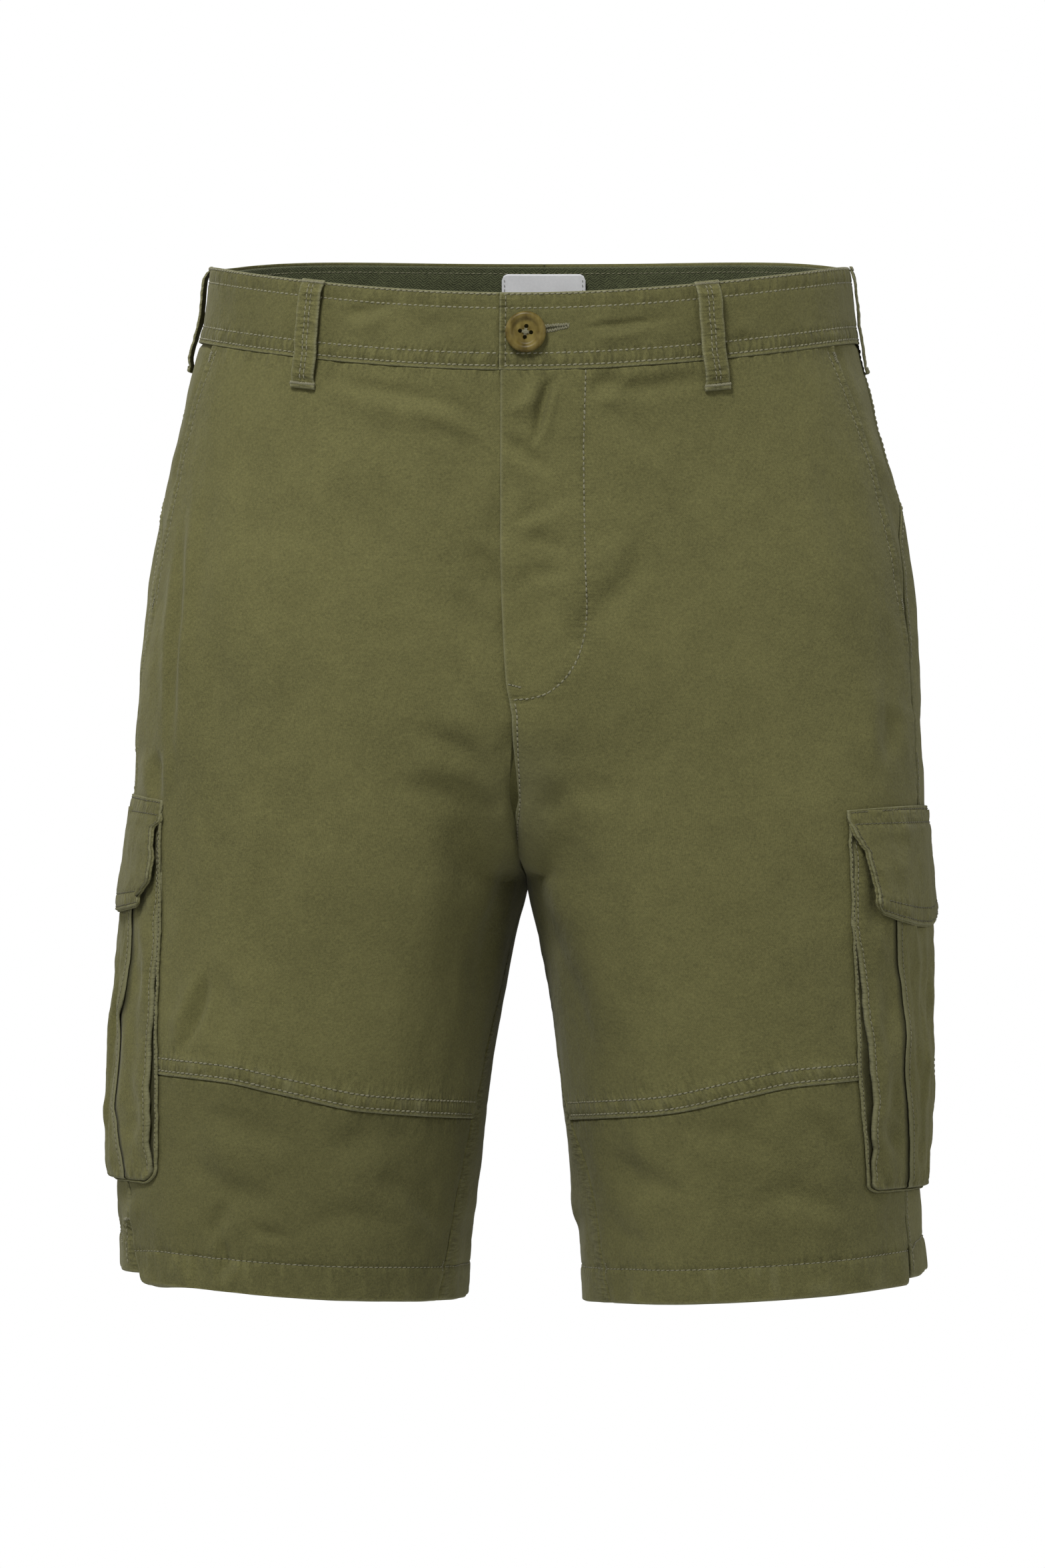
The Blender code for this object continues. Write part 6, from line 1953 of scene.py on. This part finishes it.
def cargo_flap(side):
    name = "cargo_flap_left" if side > 0 else "cargo_flap_right"
    b1 = to_step([0, 0.005, 0.015, 0.03, 0.05] + list(np.linspace(0.075, 0.935, 46)) + [0.955, 0.97, 0.982, 0.992, 1.0], 2)
    a1 = to_step([0, 0.0012, 0.004, 0.008, 0.014, 0.022] + list(np.linspace(0.034, 0.966, 88)) + [0.978, 0.986, 0.992, 0.996, 0.9988, 1.0], 2)
    b = np.repeat(b1[:, None], len(a1), axis=1)
    a = np.repeat(a1[None, :], len(b1), axis=0)
    u, z, lift = flap_place(side, a, b)
    de = np.minimum(a, 1 - a) * 128.0
    db, dt = (1 - b) * 58.0, b * 58.0
    gather_e = pucker(b * 58.0, de, 141 + side, 3.2) * np.exp(-de / 5.0)
    gather_b = pucker(a * 128.0, db, 143 + side, 3.2) * np.exp(-db / 7.0)
    gather_t = pucker(a * 128.0, dt, 145 + side, 3.2) * np.exp(-dt / 8.0)
    off = lift + 1.45 - roll(de, 0.9) - roll(db, 0.9) - roll(dt, 0.6)
    off = off + 0.35 * gather_e + 0.55 * gather_b + 0.45 * gather_t
    for row, dist in ((de, 2.0), (db, 2.0), (db, 8.4), (dt, 1.6), (dt, 8.2)):
        off = off - dip(row - dist, 0.9, 0.42)
    off = off + 0.35 * noise2(a * 9.0, b * 5.0, 147 + side) + 0.12 * noise2(a * 34.0, b * 18.0, 149 + side)
    p, n = body(side, u, z), normal(side, u, z)
    d = slack(p, n)
    top = p + n * (off + d)[..., None]
    under = p + n * (np.minimum(lift + 0.3, off - 0.6) + d)[..., None]
    wear_and_painted_shading = 0.8 * np.exp(-((de / 0.8) ** 2)) + 0.8 * np.exp(-((db / 0.8) ** 2)) + 0.45 * np.exp(-((dt / 0.8) ** 2))
    wear_and_painted_shading = wear_and_painted_shading + 0.2 * np.clip(gather_e + gather_b, 0, 1)
    gathers = {"gather_x": 0.55 * close_to(np.abs(db - 5.0), 3.0, 3.4) + 0.5 * close_to(np.abs(dt - 5.0), 3.0, 3.4),
               "gather_z": 0.3 * close_to(de, 3.0, 1.5)}
    obj = shell(name, top, under, TWILL, np.stack([a * 128.0, z], -1), np.clip(wear_and_painted_shading, 0, 1), 2, gathers)
    # the lining shows as a second edge beyond the front and the bottom
    parts = [obj]
    for kind in ("front", "bottom"):
        t1 = to_step(np.linspace(0, 1, 61) if kind == "front" else np.linspace(0, 1, 91), 2)
        w1 = np.array([0.0, 0.06, 0.18, 0.35, 0.6, 0.8, 1.0])
        tt, ww = np.meshgrid(t1, w1, indexing="ij")
        if kind == "front":
            la, lb = 0.002 + ww * 0.05, 0.10 + 0.895 * tt
            lu, lz, ll = flap_place(side, la, lb, out=0.85 * smoothstep(tt / 0.1))
            le = ww * 0.05 * 128.0
        else:
            la, lb = 0.002 + 0.996 * tt, 1 - ww * 0.10
            lu, lz, ll = flap_place(side, la, lb, down=0.75)
            le = ww * 0.10 * 58.0
        lu, lz, ll, le = (g[::1] for g in (lu, lz, ll, le))
        rough = 0.3 * noise2(tt * 40.0, 0.0, 155 + side)
        loff = ll + 0.5 - roll(le, 0.5) + 0.35 * rough
        lp, ln = body(side, lu, lz), normal(side, lu, lz)
        ld = slack(lp, ln)
        ltop = lp + ln * (loff + ld)[..., None]
        lunder = lp + ln * (ll - 0.45 + ld)[..., None]
        # painted shade: the lining strips are darkened where they lie under the flap's edge, and paler with wear at
        # their outer edge
        parts.append(shell(name + "_edge_" + kind, ltop, lunder, TWILL, np.stack([le, tt * 58.0], -1),
                           0.6 * np.exp(-((le / 0.7) ** 2)) - 0.2, 2, {"gather_z": 0.45 + 0 * le}))
    obj = join(parts)
    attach(obj, "root")
    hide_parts(name)

    def stitch(aa, bb):
        aa, bb = np.broadcast_arrays(np.asarray(aa, float), np.asarray(bb, float))
        from_rows = np.interp(bb, b1, np.arange(len(b1)))
        from_cols = np.interp(aa, a1, np.arange(len(a1)))
        i, j = np.floor(from_rows).astype(int), np.floor(from_cols).astype(int)
        i, j = np.minimum(i, len(b1) - 2), np.minimum(j, len(a1) - 2)
        fi, fj = (from_rows - i)[:, None], (from_cols - j)[:, None]
        pick = lambda g: ((1 - fi) * (1 - fj) * g[i, j] + fi * (1 - fj) * g[i + 1, j]
                          + (1 - fi) * fj * g[i, j + 1] + fi * fj * g[i + 1, j + 1])
        flap_thread.row(pick(top), pick(n), thick=0.55)

    q = np.linspace(0, 1, 160)
    stitch(0.012 + 0.976 * q, 1.6 / 58.0)
    stitch(0.014 + 0.972 * q, 8.2 / 58.0)
    stitch(0.016 + 0.968 * q, 1 - 2.0 / 58.0)
    stitch(0.064 + 0.872 * q, 1 - 8.4 / 58.0)
    stitch(2.0 / 128.0, 0.14 + 0.82 * q)
    stitch(1 - 2.0 / 128.0, 0.14 + 0.82 * q)
    return obj


# -------------------------------------------------------------------- build all
place_camera()
for side in (1, -1):
    front_panel(side)
    lower_panel(side)
    back_panel(side)
    hip_facing(side)
    band(side)
    band_facing(side)
    cargo_pocket(side)
    cargo_gusset(side)
    cargo_flap(side)
for k, (name, side, u_mid, lean) in enumerate(LOOPS):
    belt_loop(name, side, u_mid, lean, 151.0 + k)
label()
button()
buttonhole()
front_thread.build("stitching_front", THREAD)
leg_thread.build("stitching_legs", THREAD)
band_thread.build("stitching_waistband", THREAD)
pocket_thread.build("stitching_pockets", THREAD)
inner_thread.build("stitching_facing", THREAD)
flap_thread.build("stitching_flaps", FLAP_THREAD)
# painted shade: dark lens shapes in the flaps' needle holes
flap_thread.build_hole_shade("needle_hole_shade_flaps", DARK_THREAD_AND_HOLE_SHADE)
dark.build("stitching_label", DARK_THREAD_AND_HOLE_SHADE)
button_thread.build("button_thread", THREAD)
# painted shade: dark lens shapes in the needle holes
front_thread.build_hole_shade("needle_hole_shade_front", DARK_THREAD_AND_HOLE_SHADE)
leg_thread.build_hole_shade("needle_hole_shade_legs", DARK_THREAD_AND_HOLE_SHADE)
band_thread.build_hole_shade("needle_hole_shade_waistband", DARK_THREAD_AND_HOLE_SHADE)
pocket_thread.build_hole_shade("needle_hole_shade_pockets", DARK_THREAD_AND_HOLE_SHADE)


# ------------------------------------------------------------------------ studio
def studio():
    floor_z = -0.86
    size = 2.15
    n = 96
    verts = [(0, 0, floor_z)] + [(size * math.cos(2 * math.pi * k / n), size * math.sin(2 * math.pi * k / n), floor_z) for k in range(n)]
    mesh = bpy.data.meshes.new("floor")
    mesh.from_pydata(verts, [], [(0, 1 + k, 1 + (k + 1) % n) for k in range(n)])
    floor = bpy.data.objects.new("floor", mesh)
    bpy.context.scene.collection.objects.link(floor)
    mat, tree, shader = nodes_of("floor")
    coord = tree.nodes.new("ShaderNodeTexCoord").outputs["Object"]
    f = noise_node(tree, coord, 3.0, 2.0)
    tree.links.new(mix_colour(tree, f, (0.66, 0.66, 0.655), (0.68, 0.68, 0.675)), shader.inputs["Base Color"])
    shader.inputs["Roughness"].default_value = 0.9
    mesh.materials.append(mat)

    world = bpy.data.worlds.new("studio")
    bpy.context.scene.world = world
    world.use_nodes = True
    tree = world.node_tree
    tree.nodes.clear()
    out = tree.nodes.new("ShaderNodeOutputWorld")
    path = tree.nodes.new("ShaderNodeLightPath")
    dim = tree.nodes.new("ShaderNodeBackground")
    dim.inputs[0].default_value = (1.0, 0.99, 0.97, 1)
    dim.inputs[1].default_value = 0.13
    pale = tree.nodes.new("ShaderNodeBackground")
    pale.inputs[0].default_value = (1, 1, 1, 1)
    pale.inputs[1].default_value = 1.0
    mix = tree.nodes.new("ShaderNodeMixShader")
    tree.links.new(path.outputs["Is Camera Ray"], mix.inputs[0])
    tree.links.new(dim.outputs[0], mix.inputs[1])
    tree.links.new(pale.outputs[0], mix.inputs[2])
    tree.links.new(mix.outputs[0], out.inputs[0])

    def area(name, where, target, sx, sy, power, colour=(1, 1, 1)):
        lamp = bpy.data.lights.new(name, "AREA")
        lamp.shape = "RECTANGLE"
        lamp.size, lamp.size_y = sx, sy
        lamp.energy = power
        lamp.color = colour
        obj = bpy.data.objects.new(name, lamp)
        bpy.context.scene.collection.objects.link(obj)
        obj.location = where
        d = Vector(target) - Vector(where)
        obj.rotation_euler = d.to_track_quat("-Z", "Y").to_euler()
        obj.visible_camera = False

    middle = (0.0, 0.0, -0.24)
    area("key", (-0.42, -1.34, 1.42), (0.0, 0.0, -0.12), 0.5, 0.5, 34.0)
    area("fill", (2.2, -2.4, 0.3), middle, 1.2, 1.2, 13.0)
    area("fill_left", (-1.9, -2.4, -0.1), middle, 1.0, 1.0, 5.0)
    area("side_left", (-2.6, -0.1, 0.9), middle, 1.2, 1.2, 17.0)
    area("side_right", (2.6, 0.0, 0.9), middle, 1.2, 1.2, 15.0)
    area("back_left", (-1.6, 2.4, 1.7), middle, 1.0, 1.0, 28.0)
    area("back_right", (2.0, 2.3, 1.2), middle, 1.4, 1.4, 18.0)


studio()
scene = bpy.context.scene
scene.view_settings.view_transform = "Standard"
scene.view_settings.look = "None"
